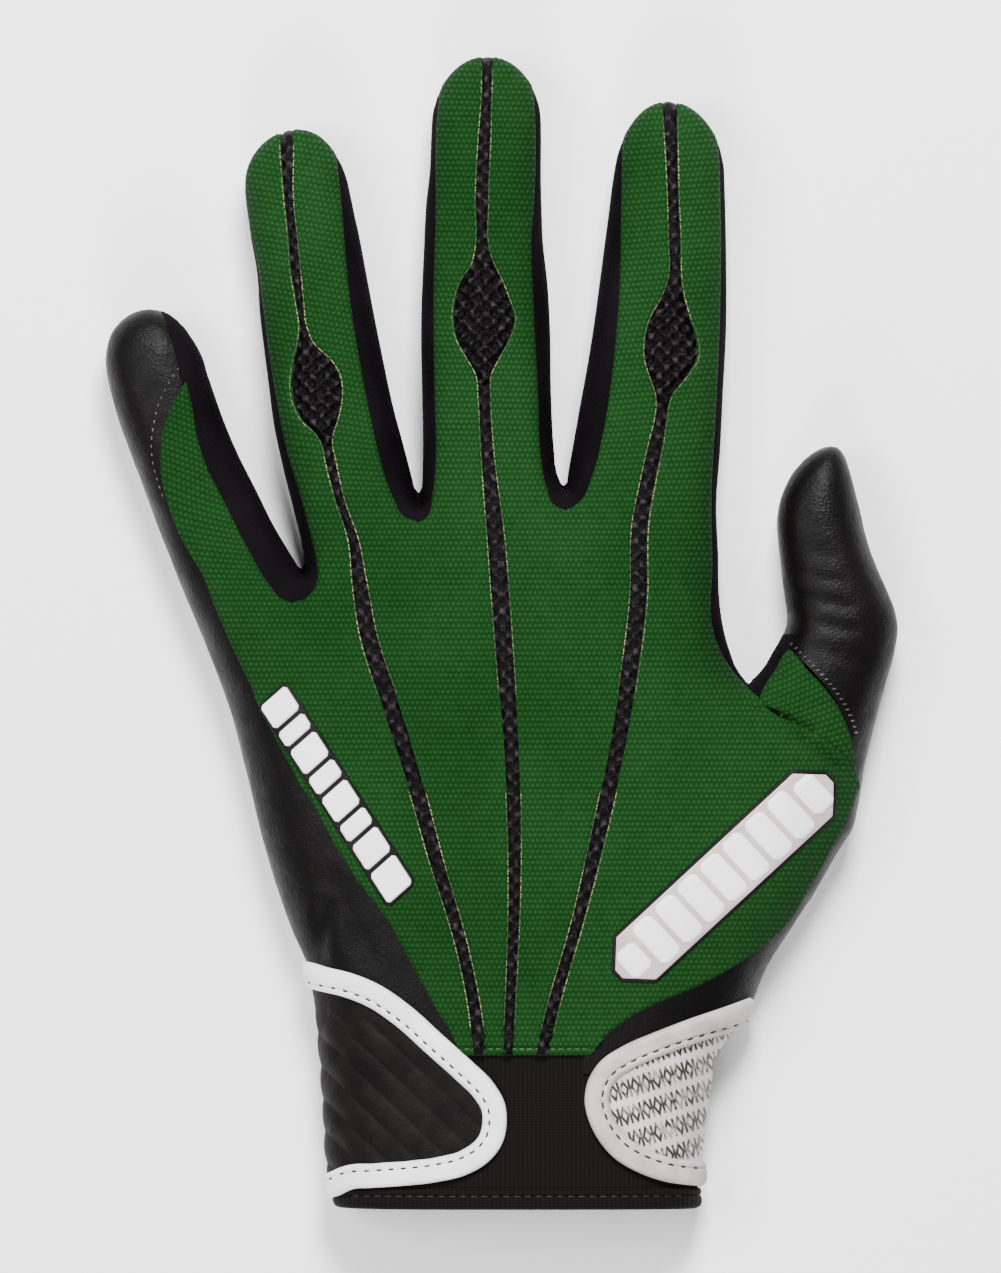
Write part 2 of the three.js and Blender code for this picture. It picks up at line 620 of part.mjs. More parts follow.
add('strap_piping', upper_piping.intersect(strap_rim), piping_white);
const tab_edge = places(tab_inner);
add('tab_panel', upper.intersect(prism(grown(tab_edge, -gap))), tab_grey);
const tab_rim = prism(places(tab_outer)).subtract(prism(tab_edge));
add('tab_piping', upper_piping.intersect(tab_rim), piping_white);

// Rubber patches on the knit back.
function patch_outline(patch) {
  const { corner } = patch;
  const from = place('palm', patch.from);
  const to = place('palm', patch.to);
  const along = to.clone().sub(from).normalize();
  const normal = new THREE.Vector2(-along.y, along.x);
  const at = (base, run, side) => base.clone().addScaledVector(along, run).addScaledVector(normal, side);
  const half = patch.width / 2;
  return [
    at(from, 0, -half + corner), at(from, corner, -half), at(to, -corner, -half), at(to, 0, -half + corner),
    at(to, 0, half - corner), at(to, -corner, half), at(from, corner, half), at(from, 0, half - corner),
  ];
}
const upper_patch_layer = patch_layer.intersect(above_split);
add('side_patch', upper_patch_layer.intersect(prism(patch_outline(side_patch))), rubber_white);
add('thumb_patch', upper_patch_layer.intersect(prism(patch_outline(thumb_patch))), rubber_white);

// The origin is under the middle of the glove's box.
const box = new THREE.Box3().setFromObject(glove);
const middle_of_box = box.getCenter(new THREE.Vector3());
glove.position.set(-middle_of_box.x, -middle_of_box.y, -box.min.z);

export default glove;
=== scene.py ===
"""Left-hand batting glove, lying palm down with its back up.

Metres, in the frame of the CAD model: +X goes from the little finger to the thumb, +Y to the
fingertips, +Z up. Edges in the plan are read off the photograph in its own pixels, as (down, across),
and heights and thicknesses are real sizes.
"""
import json
import math
import bpy
import numpy as np
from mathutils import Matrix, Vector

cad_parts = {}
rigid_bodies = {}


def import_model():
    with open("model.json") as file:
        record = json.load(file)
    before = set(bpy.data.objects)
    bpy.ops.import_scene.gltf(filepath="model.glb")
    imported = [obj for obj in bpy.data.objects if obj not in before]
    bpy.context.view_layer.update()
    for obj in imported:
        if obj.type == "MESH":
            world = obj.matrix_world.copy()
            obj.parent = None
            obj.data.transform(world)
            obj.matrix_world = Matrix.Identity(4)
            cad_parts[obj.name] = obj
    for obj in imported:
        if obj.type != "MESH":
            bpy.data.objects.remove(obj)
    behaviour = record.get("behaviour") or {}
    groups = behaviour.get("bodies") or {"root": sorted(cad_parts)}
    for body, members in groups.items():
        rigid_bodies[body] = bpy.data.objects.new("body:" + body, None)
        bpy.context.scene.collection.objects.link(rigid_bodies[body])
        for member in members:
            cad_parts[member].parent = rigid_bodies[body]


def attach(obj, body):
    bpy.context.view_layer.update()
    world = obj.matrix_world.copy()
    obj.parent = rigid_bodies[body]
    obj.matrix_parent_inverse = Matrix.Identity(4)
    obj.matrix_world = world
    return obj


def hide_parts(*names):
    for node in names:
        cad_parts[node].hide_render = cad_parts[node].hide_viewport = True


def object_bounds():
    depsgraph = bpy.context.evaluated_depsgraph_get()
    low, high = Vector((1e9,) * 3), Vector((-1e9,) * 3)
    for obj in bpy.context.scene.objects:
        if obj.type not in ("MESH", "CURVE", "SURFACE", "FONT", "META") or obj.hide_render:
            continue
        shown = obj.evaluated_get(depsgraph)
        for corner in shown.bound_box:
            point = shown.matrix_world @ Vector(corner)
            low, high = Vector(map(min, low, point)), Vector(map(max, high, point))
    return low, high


for leftover in list(bpy.data.objects):
    bpy.data.objects.remove(leftover)

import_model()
cad_low, cad_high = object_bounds()

MM = 0.001
NO_ROLL = (False, False)         # for a lane whose edges both lie flat

# The glove's edges in the photograph, in pixels, and the size of a pixel on the glove.
PHOTO_WIDTH, PHOTO_HEIGHT = 1001, 1273
PHOTO_LEFT, PHOTO_RIGHT, PHOTO_TOP = 105, 899, 57
PIXEL = (cad_high.x - cad_low.x) / (PHOTO_RIGHT - PHOTO_LEFT)

# Heights and roundness of the filled shape.
seam_height = 9 * MM             # the widest line, above the floor
back_rise = cad_high.z - seam_height
finger_rise = 12 * MM
wrist_rise = 15.7 * MM
wrist_rows = (950, 1150)         # where the rise goes over to the wrist's, in pixels
edge_roundness = 11.5 * MM
back_power = 4
palm_power = 8
palm_middle = (950, 520)         # down, across
rise_ends = (280, 520)           # where the rise leaves the palm's and reaches the fingers', in pixels
tip_lean = 0.6                   # how much of an edge's slope goes on over the rounded tip
WELD = 2e-6                      # points this near to each other are one
side_drop = 0.45 * MM            # plan distance that the side walls turn in under the widest line

# Thicknesses and layers.
knit_wall = 1.1 * MM
leather_wall = 1.0 * MM
knit_lift = 0.25 * MM
leather_lift = -0.15 * MM
gusset_lift = -0.1 * MM
fold_lift = 0.05 * MM            # of the piece at the foot of the thumb
tab_lift = 0.05 * MM
palm_lift = -0.05 * MM
strip_lift = -0.75 * MM
edge_drop = 0.6 * MM
edge_width = 1.1 * MM
mesh_pitch = 1.6 * MM            # between two neighbouring crossings of the mesh

# Fingertips: the highest point, where the rounded tip starts, and how pointed it is.
tips = {
    "little": {"tip": (308, 150), "round_from": 370, "power": 2.0},
    "ring": {"tip": (130, 297), "round_from": 190, "power": 2.0},
    "middle": {"tip": (57, 487), "round_from": 125, "power": 2.0},
    "index": {"tip": (102, 668), "round_from": 175, "power": 2.0},
    "thumb": {"tip": (445, 831), "round_from": 530, "power": 1.9},
}

# Side edges of the glove below each rounded tip, as (down, across).
LEFT_EDGES = {
    "little": [
        (370, 105), (390, 109), (430, 121), (470, 136), (550, 166), (590, 182), (650, 207), (710, 229),
        (770, 245), (830, 259), (890, 277), (930, 291), (965, 306), (990, 312), (1050, 320),
        (1110, 324), (1170, 328), (1208, 334), (1300, 336), (1900, 336)],
    "ring": [
        (190, 245), (230, 249), (270, 256), (310, 259), (370, 266), (430, 274), (470, 283), (510, 293),
        (550, 302), (576, 304)],
    "middle": [
        (125, 431), (170, 429), (210, 425), (250, 423), (330, 420), (390, 421), (450, 422), (490, 421),
        (507, 420)],
    "index": [
        (175, 613), (210, 608), (250, 603), (290, 598), (350, 589), (410, 578), (450, 571), (475, 567),
        (492, 566)],
    "thumb": [
        (530, 776), (550, 778), (570, 780), (590, 782), (630, 784), (650, 773), (670, 761), (683, 748)],
}
RIGHT_EDGES = {
    "little": [
        (370, 207), (410, 221), (450, 237), (490, 257), (530, 277), (560, 295), (576, 304)],
    "ring": [
        (190, 350), (230, 359), (290, 370), (350, 382), (410, 395), (450, 406), (490, 416), (507, 420)],
    "middle": [
        (125, 542), (190, 542), (230, 543), (290, 549), (330, 551), (390, 552), (450, 555), (475, 558),
        (492, 566)],
    "index": [
        (175, 725), (250, 727), (330, 727), (390, 724), (450, 721), (510, 717), (550, 719), (610, 721),
        (650, 730), (670, 738), (683, 748)],
    "thumb": [
        (530, 865), (550, 871), (570, 879), (590, 888), (610, 896), (630, 899), (650, 896), (690, 885),
        (730, 874), (770, 865), (810, 858), (830, 853), (850, 840), (890, 817), (930, 791), (970, 766),
        (1003, 753), (1030, 735), (1050, 720), (1090, 711), (1130, 705), (1170, 701), (1208, 702),
        (1300, 702), (1900, 702)],
}

# Where a finger's lane meets the next one below their crotch.
webs = {
    "little": [
        (576, 304), (603, 292), (640, 300), (750, 360), (900, 430), (1045, 463), (1300, 466)],
    "ring": [
        (507, 420), (523, 419), (640, 432), (900, 480), (1045, 494), (1300, 495)],
    "middle": [
        (492, 566), (511, 565), (640, 560), (900, 536), (1045, 525), (1300, 524)],
    "index": [
        (683, 748), (695, 755), (706, 763), (760, 770), (850, 740), (950, 650), (1045, 570), (1300, 565)],
}

# Edges of the knit back on each finger, and at the foot of the thumb.
knit_left = {
    "little": [
        (376, 186), (390, 181), (405, 172), (430, 163), (455, 160), (481, 161), (505, 167), (530, 176),
        (553, 188), (572, 200), (605, 213), (640, 228), (690, 252), (735, 275), (800, 310), (870, 350),
        (925, 390), (990, 425), (1040, 455), (1056, 464)],
    "ring": [
        (110, 240), (190, 242.5), (230, 248.5), (260, 255), (300, 260.5), (350, 267), (400, 275),
        (450, 285), (500, 300), (535, 309), (555, 314), (578, 316), (590, 312), (599, 302), (603, 292)],
    "middle": [
        (60, 446), (80, 440), (110, 436), (220, 434), (300, 432), (400, 433), (460, 434), (500, 430),
        (516, 426), (523, 419)],
    "index": [
        (105, 626), (125, 622), (150, 620.5), (200, 619.5), (300, 617), (340, 614), (400, 607),
        (440, 600), (480, 589), (500, 579), (511, 565)],
    "thumb": [
        (645, 787), (655, 779), (665, 773), (675, 767), (685, 761), (695, 757), (704, 757), (709, 770),
        (716, 788), (729, 812), (746, 836), (766, 854), (786, 861)],
}
knit_right = {
    "little": [
        (376, 187), (400, 193), (440, 200), (465, 208), (505, 228), (545, 248), (580, 268), (592, 277),
        (599, 284), (603, 292)],
    "ring": [
        (110, 345), (132, 337), (160, 339), (200, 343), (260, 348), (300, 352), (340, 358), (380, 365),
        (420, 373), (460, 382), (500, 396), (516, 406), (523, 419)],
    "middle": [
        (60, 530), (80, 534), (110, 536.5), (200, 536), (240, 533), (300, 535), (400, 540), (460, 543),
        (490, 549), (505, 556), (511, 565)],
    "index": [
        (105, 708), (125, 716), (150, 720), (200, 722), (300, 722), (400, 718), (500, 713), (560, 714),
        (640, 717.5), (660, 727), (675, 738), (690, 752), (705, 764), (714, 775), (721, 790),
        (731, 811), (748, 836), (768, 854), (785, 859), (815, 851), (850, 833), (890, 810), (935, 779),
        (960, 745), (985, 700), (1005, 652), (1035, 606), (1056, 588)],
    "thumb": [
        (645, 789), (655, 796), (668, 805), (683, 820), (703, 836), (728, 849), (757, 858), (786, 861)],
}

# The seam of the thumb leather, and the edge of the cap on the little finger.
thumb_seam = [
    (630, 780), (637, 784), (650, 794), (665, 811), (680, 825), (697, 838), (715, 848), (735, 855),
    (760, 859), (790, 859), (830, 845)]
cap_edge = [
    (305, 163), (313, 168), (340, 178), (362, 184), (380, 185)]

# The mesh strips, as (down, left edge, right edge), and where each knuckle patch starts and ends.
strips = {
    "ring": {"knuckle": (336, 446), "rows": [
        (120, 280, 293), (150, 281, 293), (200, 285, 293), (240, 289, 297), (270, 291, 300),
        (300, 296, 303), (330, 300, 307), (345, 298, 314), (360, 294, 330), (372, 292, 338),
        (390, 291, 342), (410, 296, 340), (422, 303, 337), (434, 316, 333), (446, 323, 332),
        (460, 326, 335), (500, 336, 344), (540, 349, 358), (580, 353, 366), (640, 362, 378),
        (700, 381, 398), (780, 407, 422), (860, 430, 443), (940, 455, 466), (1000, 468, 479),
        (1060, 475, 487)]},
    "middle": {"knuckle": (262, 384), "rows": [
        (45, 482, 493), (100, 482, 491), (140, 479, 490), (200, 476, 488), (255, 475, 490),
        (266, 472, 494), (280, 462, 501), (300, 455, 509), (320, 453, 515), (340, 457, 509),
        (360, 468, 498), (374, 476, 491), (400, 479, 490), (440, 481, 492), (540, 488, 504),
        (660, 497, 513), (760, 505, 519), (880, 509, 520), (1000, 506, 515), (1060, 503, 512)]},
    "index": {"knuckle": (290, 402), "rows": [
        (90, 661, 677), (140, 665, 677), (200, 668, 678), (240, 669, 680), (282, 668, 681),
        (300, 661, 684), (320, 650, 690), (340, 645, 697), (360, 645, 697), (380, 651, 684),
        (395, 656, 672), (420, 655, 666), (440, 650, 663), (480, 641, 655), (520, 633, 648),
        (600, 630, 646), (680, 620, 636), (760, 607, 622), (840, 590, 604), (920, 572, 583),
        (1000, 549, 560), (1060, 534, 546)]},
}


def curve(points, at, column=1):
    """A smooth curve through a table's rows: a cubic between each two rows, with the mean slope at each."""
    table = np.array(points, float)
    x, y = table[:, 0], table[:, column]
    run = np.diff(x)
    rise = np.diff(y) / run
    slope = np.concatenate([rise[:1], (rise[1:] * run[:-1] + rise[:-1] * run[1:]) / (run[1:] + run[:-1]),
                            rise[-1:]])
    at = np.asarray(at, float)
    i = np.clip(np.searchsorted(x, at, side="right") - 1, 0, len(run) - 1)
    t = np.clip((at - x[i]) / run[i], 0, 1)
    bend = slope[i] * run[i] * t * (1 - t) ** 2 - slope[i + 1] * run[i] * t * t * (1 - t)
    return y[i] + (y[i + 1] - y[i]) * t * t * (3 - 2 * t) + bend


def side_edge(digit, side, at, spread=0.0):
    """Across place of a finger's left (side -1) or right (side 1) edge. Over the rounded tip it is the
    middle plus half the width times the root of 1 - t^power, where t runs from 0 to 1 at the tip; middle
    and width come from both edges, carried on above the place where the rounding starts."""
    tip_down, tip_across = tips[digit]["tip"]
    start = tips[digit]["round_from"]
    below = np.maximum(at, start)
    above = tip_lean * (start - np.minimum(at, start))
    sides = []
    for edges in (LEFT_EDGES, RIGHT_EDGES):
        run = curve(edges[digit], start + 2) - curve(edges[digit], start)
        sides.append(curve(edges[digit], below) - above * run / 2)
    left, right = sides
    t = np.clip((start - at) / (start - tip_down + spread), 0, 1)
    middle = (left + right) / 2 + (tip_across - (left + right) / 2) * t * t
    half = (right - left) / 2 + spread
    return middle + side * half * np.sqrt(1 - t ** tips[digit]["power"])


def plan(down, across):
    """Photograph pixels to metres in the plan."""
    return (cad_low.x + (across - PHOTO_LEFT) * PIXEL, cad_high.y - (down - PHOTO_TOP) * PIXEL)


def hand_outline():
    """The whole outline once round, from the wrist up the little finger's side and down the thumb's."""
    tip_turn = np.linspace(-1, 1, 25)
    runs = []
    for digit in tips:
        start, tip_down = tips[digit]["round_from"], tips[digit]["tip"][0]
        left_end, right_end = LEFT_EDGES[digit][-1][0], RIGHT_EDGES[digit][-1][0]
        up = np.linspace(left_end, start, max(int((left_end - start) / 9), 2))
        over = start - (start - tip_down) * np.clip(np.cos(tip_turn * math.pi / 2), 0, 1)
        away = np.linspace(start, right_end, max(int((right_end - start) / 9), 2))
        across = np.where(tip_turn < 0, side_edge(digit, -1, over), side_edge(digit, 1, over))
        runs += [(up[:-1], side_edge(digit, -1, up[:-1])), (over, across),
                 (away[1:-1], side_edge(digit, 1, away[1:-1]))]
    down = np.concatenate([run[0] for run in runs])
    across = np.concatenate([run[1] for run in runs])
    return np.stack(plan(down, across), 1)


# The grid of distances, in pixels. Its corner is off the whole pixels, where the outline's corners lie.
FIELD_STEP = 2.0
FIELD_TOP, FIELD_FOOT = 40.37, 1230
FIELD_LEFT, FIELD_RIGHT = 88.41, 916


def smooth_distance():
    """Signed distance from the outline on a grid of the plan, rounded off far from it: 2 / w, where w
    sums tan(half the angle) * (1 / near + 1 / far) over the straight runs of the outline."""
    down = np.arange(FIELD_TOP, FIELD_FOOT + FIELD_STEP, FIELD_STEP)
    across = np.arange(FIELD_LEFT, FIELD_RIGHT + FIELD_STEP, FIELD_STEP)
    x, y = plan(*np.meshgrid(down, across, indexing="ij"))
    outline = hand_outline()
    dx, dy = outline[0, 0] - x, outline[0, 1] - y
    near = np.hypot(dx, dy)
    weight = np.zeros_like(x)
    for corner in np.roll(outline, -1, axis=0):
        ex, ey = corner[0] - x, corner[1] - y
        far = np.hypot(ex, ey)
        half_angle = (dy * ex - dx * ey) / (near * far + dx * ex + dy * ey + 1e-15)
        weight += half_angle * (1 / (near + 1e-9) + 1 / (far + 1e-9))
        dx, dy, near = ex, ey, far
    return 2 / np.where(np.abs(weight) < 1e-6, 1e-6, weight)


DISTANCE = smooth_distance()
SLOPE_DOWN, SLOPE_ACROSS = (slope / (FIELD_STEP * PIXEL) for slope in np.gradient(DISTANCE))


def field_at(grid, down, across):
    """Bilinear value of a plan grid."""
    row = np.clip((down - FIELD_TOP) / FIELD_STEP, 0, grid.shape[0] - 1.001)
    column = np.clip((across - FIELD_LEFT) / FIELD_STEP, 0, grid.shape[1] - 1.001)
    i, j = row.astype(int), column.astype(int)
    u, v = row - i, column - j
    upper = grid[i, j] * (1 - v) + grid[i, j + 1] * v
    lower = grid[i + 1, j] * (1 - v) + grid[i + 1, j + 1] * v
    return upper * (1 - u) + lower * u


def ease(value, start, end):
    """0 before start, 1 after end, smooth between."""
    t = np.clip((value - start) / (end - start), 0, 1)
    return t * t * (3 - 2 * t)


def rise_at(down, across):
    """Height of the back above the widest line, where it levels off."""
    away = np.hypot(down - palm_middle[0], across - palm_middle[1])
    rise = back_rise + (finger_rise - back_rise) * ease(away, *rise_ends)
    wrist = ease(down, *wrist_rows)
    return rise + (wrist_rise - rise) * wrist


# Soft folds of the glove: from and to in pixels, then width and depth in millimetres.
folds = [
    ((572, 792), (582, 842), 1.2, 0.24),
    ((596, 788), (606, 846), 1.3, 0.36),
    ((618, 788), (630, 852), 1.3, 0.34),
    ((648, 816), (662, 868), 1.8, 0.25),
    ((545, 790), (556, 832), 1.4, 0.15),
    ((704, 754), (717, 786), 0.75, 0.8),
    ((717, 786), (730, 812), 0.85, 1.0),
    ((736, 802), (768, 842), 1.0, 1.0),
    ((726, 800), (770, 848), 3.0, 0.8),
    ((672, 778), (682, 806), 1.3, 0.35),
    ((694, 780), (706, 820), 1.5, 0.4),
    ((905, 325), (955, 318), 1.6, 0.8),
    ((880, 330), (960, 372), 3.0, 0.6),
    ((585, 318), (560, 350), 2.2, 0.45),
    ((600, 300), (640, 285), 2.5, 0.4),
    ((515, 430), (545, 452), 2.2, 0.35),
    ((505, 575), (530, 590), 2.2, 0.35),
]


def fold_depth(down, across):
    """Sum of the folds: each a valley, depth times exp(-(distance / width)^2) from its line."""
    depth = np.zeros_like(down)
    for (d0, a0), (d1, a1), width, deep in folds:
        vd, va = d1 - d0, a1 - a0
        t = np.clip(((down - d0) * vd + (across - a0) * va) / (vd * vd + va * va), 0, 1)
        away = np.hypot(down - d0 - t * vd, across - a0 - t * va) * PIXEL
        depth += deep * MM * np.exp(-(away / (width * MM)) ** 2)
    return depth


def skin(down, across, lift=0.0, side=1):
    """A point of the glove's surface over a place of the plan, on the back (side 1) or the palm (-1).

    The height over the widest line is r / (1 + (r / limit)^power)^(1 / power), where r is the root of
    2 * edge_roundness * distance from the outline. A place just outside the outline lies as far under
    the widest line instead. lift moves the point along the surface's normal."""
    down, across = np.broadcast_arrays(np.asarray(down, float), np.asarray(across, float))
    distance = field_at(DISTANCE, down, across)
    slope_x, slope_y = field_at(SLOPE_ACROSS, down, across), -field_at(SLOPE_DOWN, down, across)
    steep = np.maximum(np.hypot(slope_x, slope_y), 0.5)
    x, y = plan(down, across)
    back = np.minimum(distance, 0) * -2 / steep ** 2
    x, y = x + slope_x * back, y + slope_y * back
    side = np.where(distance < 0, -side, side)
    reach = np.sqrt(2 * edge_roundness * np.abs(distance))
    limit = np.where(side > 0, rise_at(down, across), seam_height)
    power = np.where(side > 0, back_power, palm_power)
    flat = 1 + (reach / limit) ** power
    height = reach / flat ** (1 / power)
    normal = np.stack([-slope_x * edge_roundness, -slope_y * edge_roundness,
                       side * reach * flat ** (1 + 1 / power)], -1)
    normal /= np.linalg.norm(normal, axis=-1, keepdims=True)
    lift = lift - np.where(side > 0, fold_depth(down, across), 0)
    place = np.stack([x, y, seam_height + side * height], -1)
    return place + normal * np.asarray(lift)[..., None], normal


def rows_down(top, foot, step=4.0, soft_start=0):
    """Rows from top to foot, step apart, and closer over the first soft_start rows."""
    count = int(math.ceil((foot - top) / step)) + soft_start // 2
    gaps = np.minimum(1, (np.arange(count) + 0.5) / max(soft_start, 1))
    return top + (foot - top) * np.concatenate([[0], np.cumsum(gaps) / gaps.sum()])


def columns(count):
    """Shares from 0 to 1, closer at both ends: (1 - cos) / 2."""
    return (1 - np.cos(np.linspace(0, math.pi, count + 1))) / 2


def edge_away(down, edge, across):
    """Distance of a place from an edge of its row, square to the edge."""
    slope = np.gradient(edge, down)[:, None]
    return np.abs(across - edge[:, None]) * PIXEL / np.sqrt(1 + slope * slope)


def rolled(away):
    """How far a cut edge rolls down: (1 - distance / edge_width)^2 times edge_drop."""
    return edge_drop * np.clip(1 - away / edge_width, 0, 1) ** 2


def cloth_place(down, across, turn):
    """Place on the cloth in metres: the plan, turned with a finger and straight again below it."""
    if turn is None:
        return np.stack([across * PIXEL, -down * PIXEL], -1)
    middle_down, middle_across, degrees, above, below = turn
    angle = np.radians(degrees) * (1 - ease(down, above, below))
    u, v = (across - middle_across) * PIXEL, (middle_down - down) * PIXEL
    return np.stack([u * np.cos(angle) - v * np.sin(angle) + middle_across * PIXEL,
                     u * np.sin(angle) + v * np.cos(angle) - middle_down * PIXEL], -1)


def skin_grid(down, across, lift, side=1, turn=None, **settings):
    """A grid of skin points with their normals and their places on the cloth."""
    points, normals = skin(down, across, lift, side)
    return {"points": points, "normals": normals, "cloth": cloth_place(down, across, turn), **settings}


def lane(down, left, right, count, lift=0.0, roll=NO_ROLL, side=1, relief=None, turn=None):
    """A grid of skin points: rows down the plan, each from its left to its right edge.

    roll says for each side, or for each row of it, whether the edge rolls down. relief(down, across)
    adds to the lift. turn=(down, across, degrees, from, to) gives the turn of the cloth."""
    across = left[:, None] + (right - left)[:, None] * columns(count)[None, :]
    rows = np.broadcast_to(down[:, None], across.shape)
    lifts = np.full(across.shape, lift)
    for edge, is_cut in zip((left, right), roll):
        lifts -= rolled(edge_away(down, edge, across)) * np.broadcast_to(is_cut, down.shape)[:, None]
    if relief is not None:
        lifts = lifts + relief(rows, across)
    return skin_grid(rows, across, lifts, side, turn, flip=side < 0)


def grid_faces(rows, cols, wrap=False):
    """Four-sided faces of a grid of points; wrap joins its last column to its first."""
    r = np.arange(rows - 1)[:, None]
    c = np.arange(cols if wrap else cols - 1)[None, :]
    d = (c + 1) % cols
    return np.stack([r * cols + c, (r + 1) * cols + c, (r + 1) * cols + d, r * cols + d], -1).reshape(-1, 4)


def welded(points):
    """Number of each point's own place: points that lie within WELD of each other share one."""
    _, first, place = np.unique(np.round(points / WELD).astype(np.int64), axis=0, return_index=True,
                                return_inverse=True)
    return first, place.ravel()


def shell_faces(corners, count, wall):
    """Triangles of a closed wall: the outer side, the inner side turned over, and a rim along every edge
    that only one triangle uses. The inner points follow the outer ones, count of them."""
    if not wall:
        return corners
    starts, ends = corners.ravel(), np.roll(corners, -1, axis=1).ravel()
    alone = ~np.isin(starts * count + ends, ends * count + starts)
    a, b = starts[alone], ends[alone]
    rim = np.concatenate([np.stack([b, a, a + count], 1), np.stack([b, a + count, b + count], 1)])
    return np.concatenate([corners, corners[:, ::-1] + count, rim])


def mesh_piece(name, grids, material, wall=0.0):
    """One object from grids of points: {points, normals, cloth, flip, wrap}. wall is its thickness, from
    the outer side in along the normals."""
    points, normals, cloth, quads, start = [], [], [], [], 0
    for grid in grids:
        rows, cols = grid["points"].shape[:2]
        faces = grid_faces(rows, cols, grid.get("wrap", False)) + start
        quads.append(faces[:, ::-1] if grid.get("flip") else faces)
        points.append(grid["points"].reshape(-1, 3))
        normals.append(grid.get("normals", grid["points"]).reshape(-1, 3))
        cloth.append(grid.get("cloth", grid["points"][..., :2]).reshape(-1, 2))
        start += rows * cols
    points, normals, cloth, quads = map(np.concatenate, (points, normals, cloth, quads))
    first, place = welded(points)
    count = len(first)
    mean = np.zeros((count, 3))
    np.add.at(mean, place, normals)
    mean /= np.linalg.norm(mean, axis=1, keepdims=True) + 1e-12
    corners = np.concatenate([quads[:, [0, 1, 2]], quads[:, [0, 2, 3]]])
    outer = place[corners]
    real = (outer[:, 0] != outer[:, 1]) & (outer[:, 1] != outer[:, 2]) & (outer[:, 2] != outer[:, 0])
    corners, outer = corners[real], outer[real]
    faces = shell_faces(outer, count, wall)
    places = points[first]
    if wall:
        places = np.concatenate([places, places - mean * wall])
    flat = cloth[first][faces % count]
    flat[:len(corners)] = cloth[corners]
    mesh = bpy.data.meshes.new(name)
    mesh.vertices.add(len(places))
    mesh.vertices.foreach_set("co", places.astype(np.float32).ravel())
    mesh.loops.add(faces.size)
    mesh.loops.foreach_set("vertex_index", faces.astype(np.int32).ravel())
    mesh.polygons.add(len(faces))
    mesh.polygons.foreach_set("loop_start", np.arange(0, faces.size, 3, dtype=np.int32))
    mesh.update(calc_edges=True)
    mesh.uv_layers.new(name="cloth").data.foreach_set("uv", flat.astype(np.float32).ravel())
    mesh.polygons.foreach_set("use_smooth", np.ones(len(faces), bool))
    mesh.set_sharp_from_angle(angle=math.radians(55))
    mesh.validate()
    mesh.materials.append(material)
    piece = bpy.data.objects.new(name, mesh)
    bpy.context.scene.collection.objects.link(piece)
    return piece


def add_piece(name, grids, material, wall, slot, *nodes):
    """A piece that rides with the glove, in its material, and stands for CAD nodes. slot is not used."""
    piece = mesh_piece(name, grids, material, wall)
    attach(piece, "root")
    if nodes:
        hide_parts(*nodes)


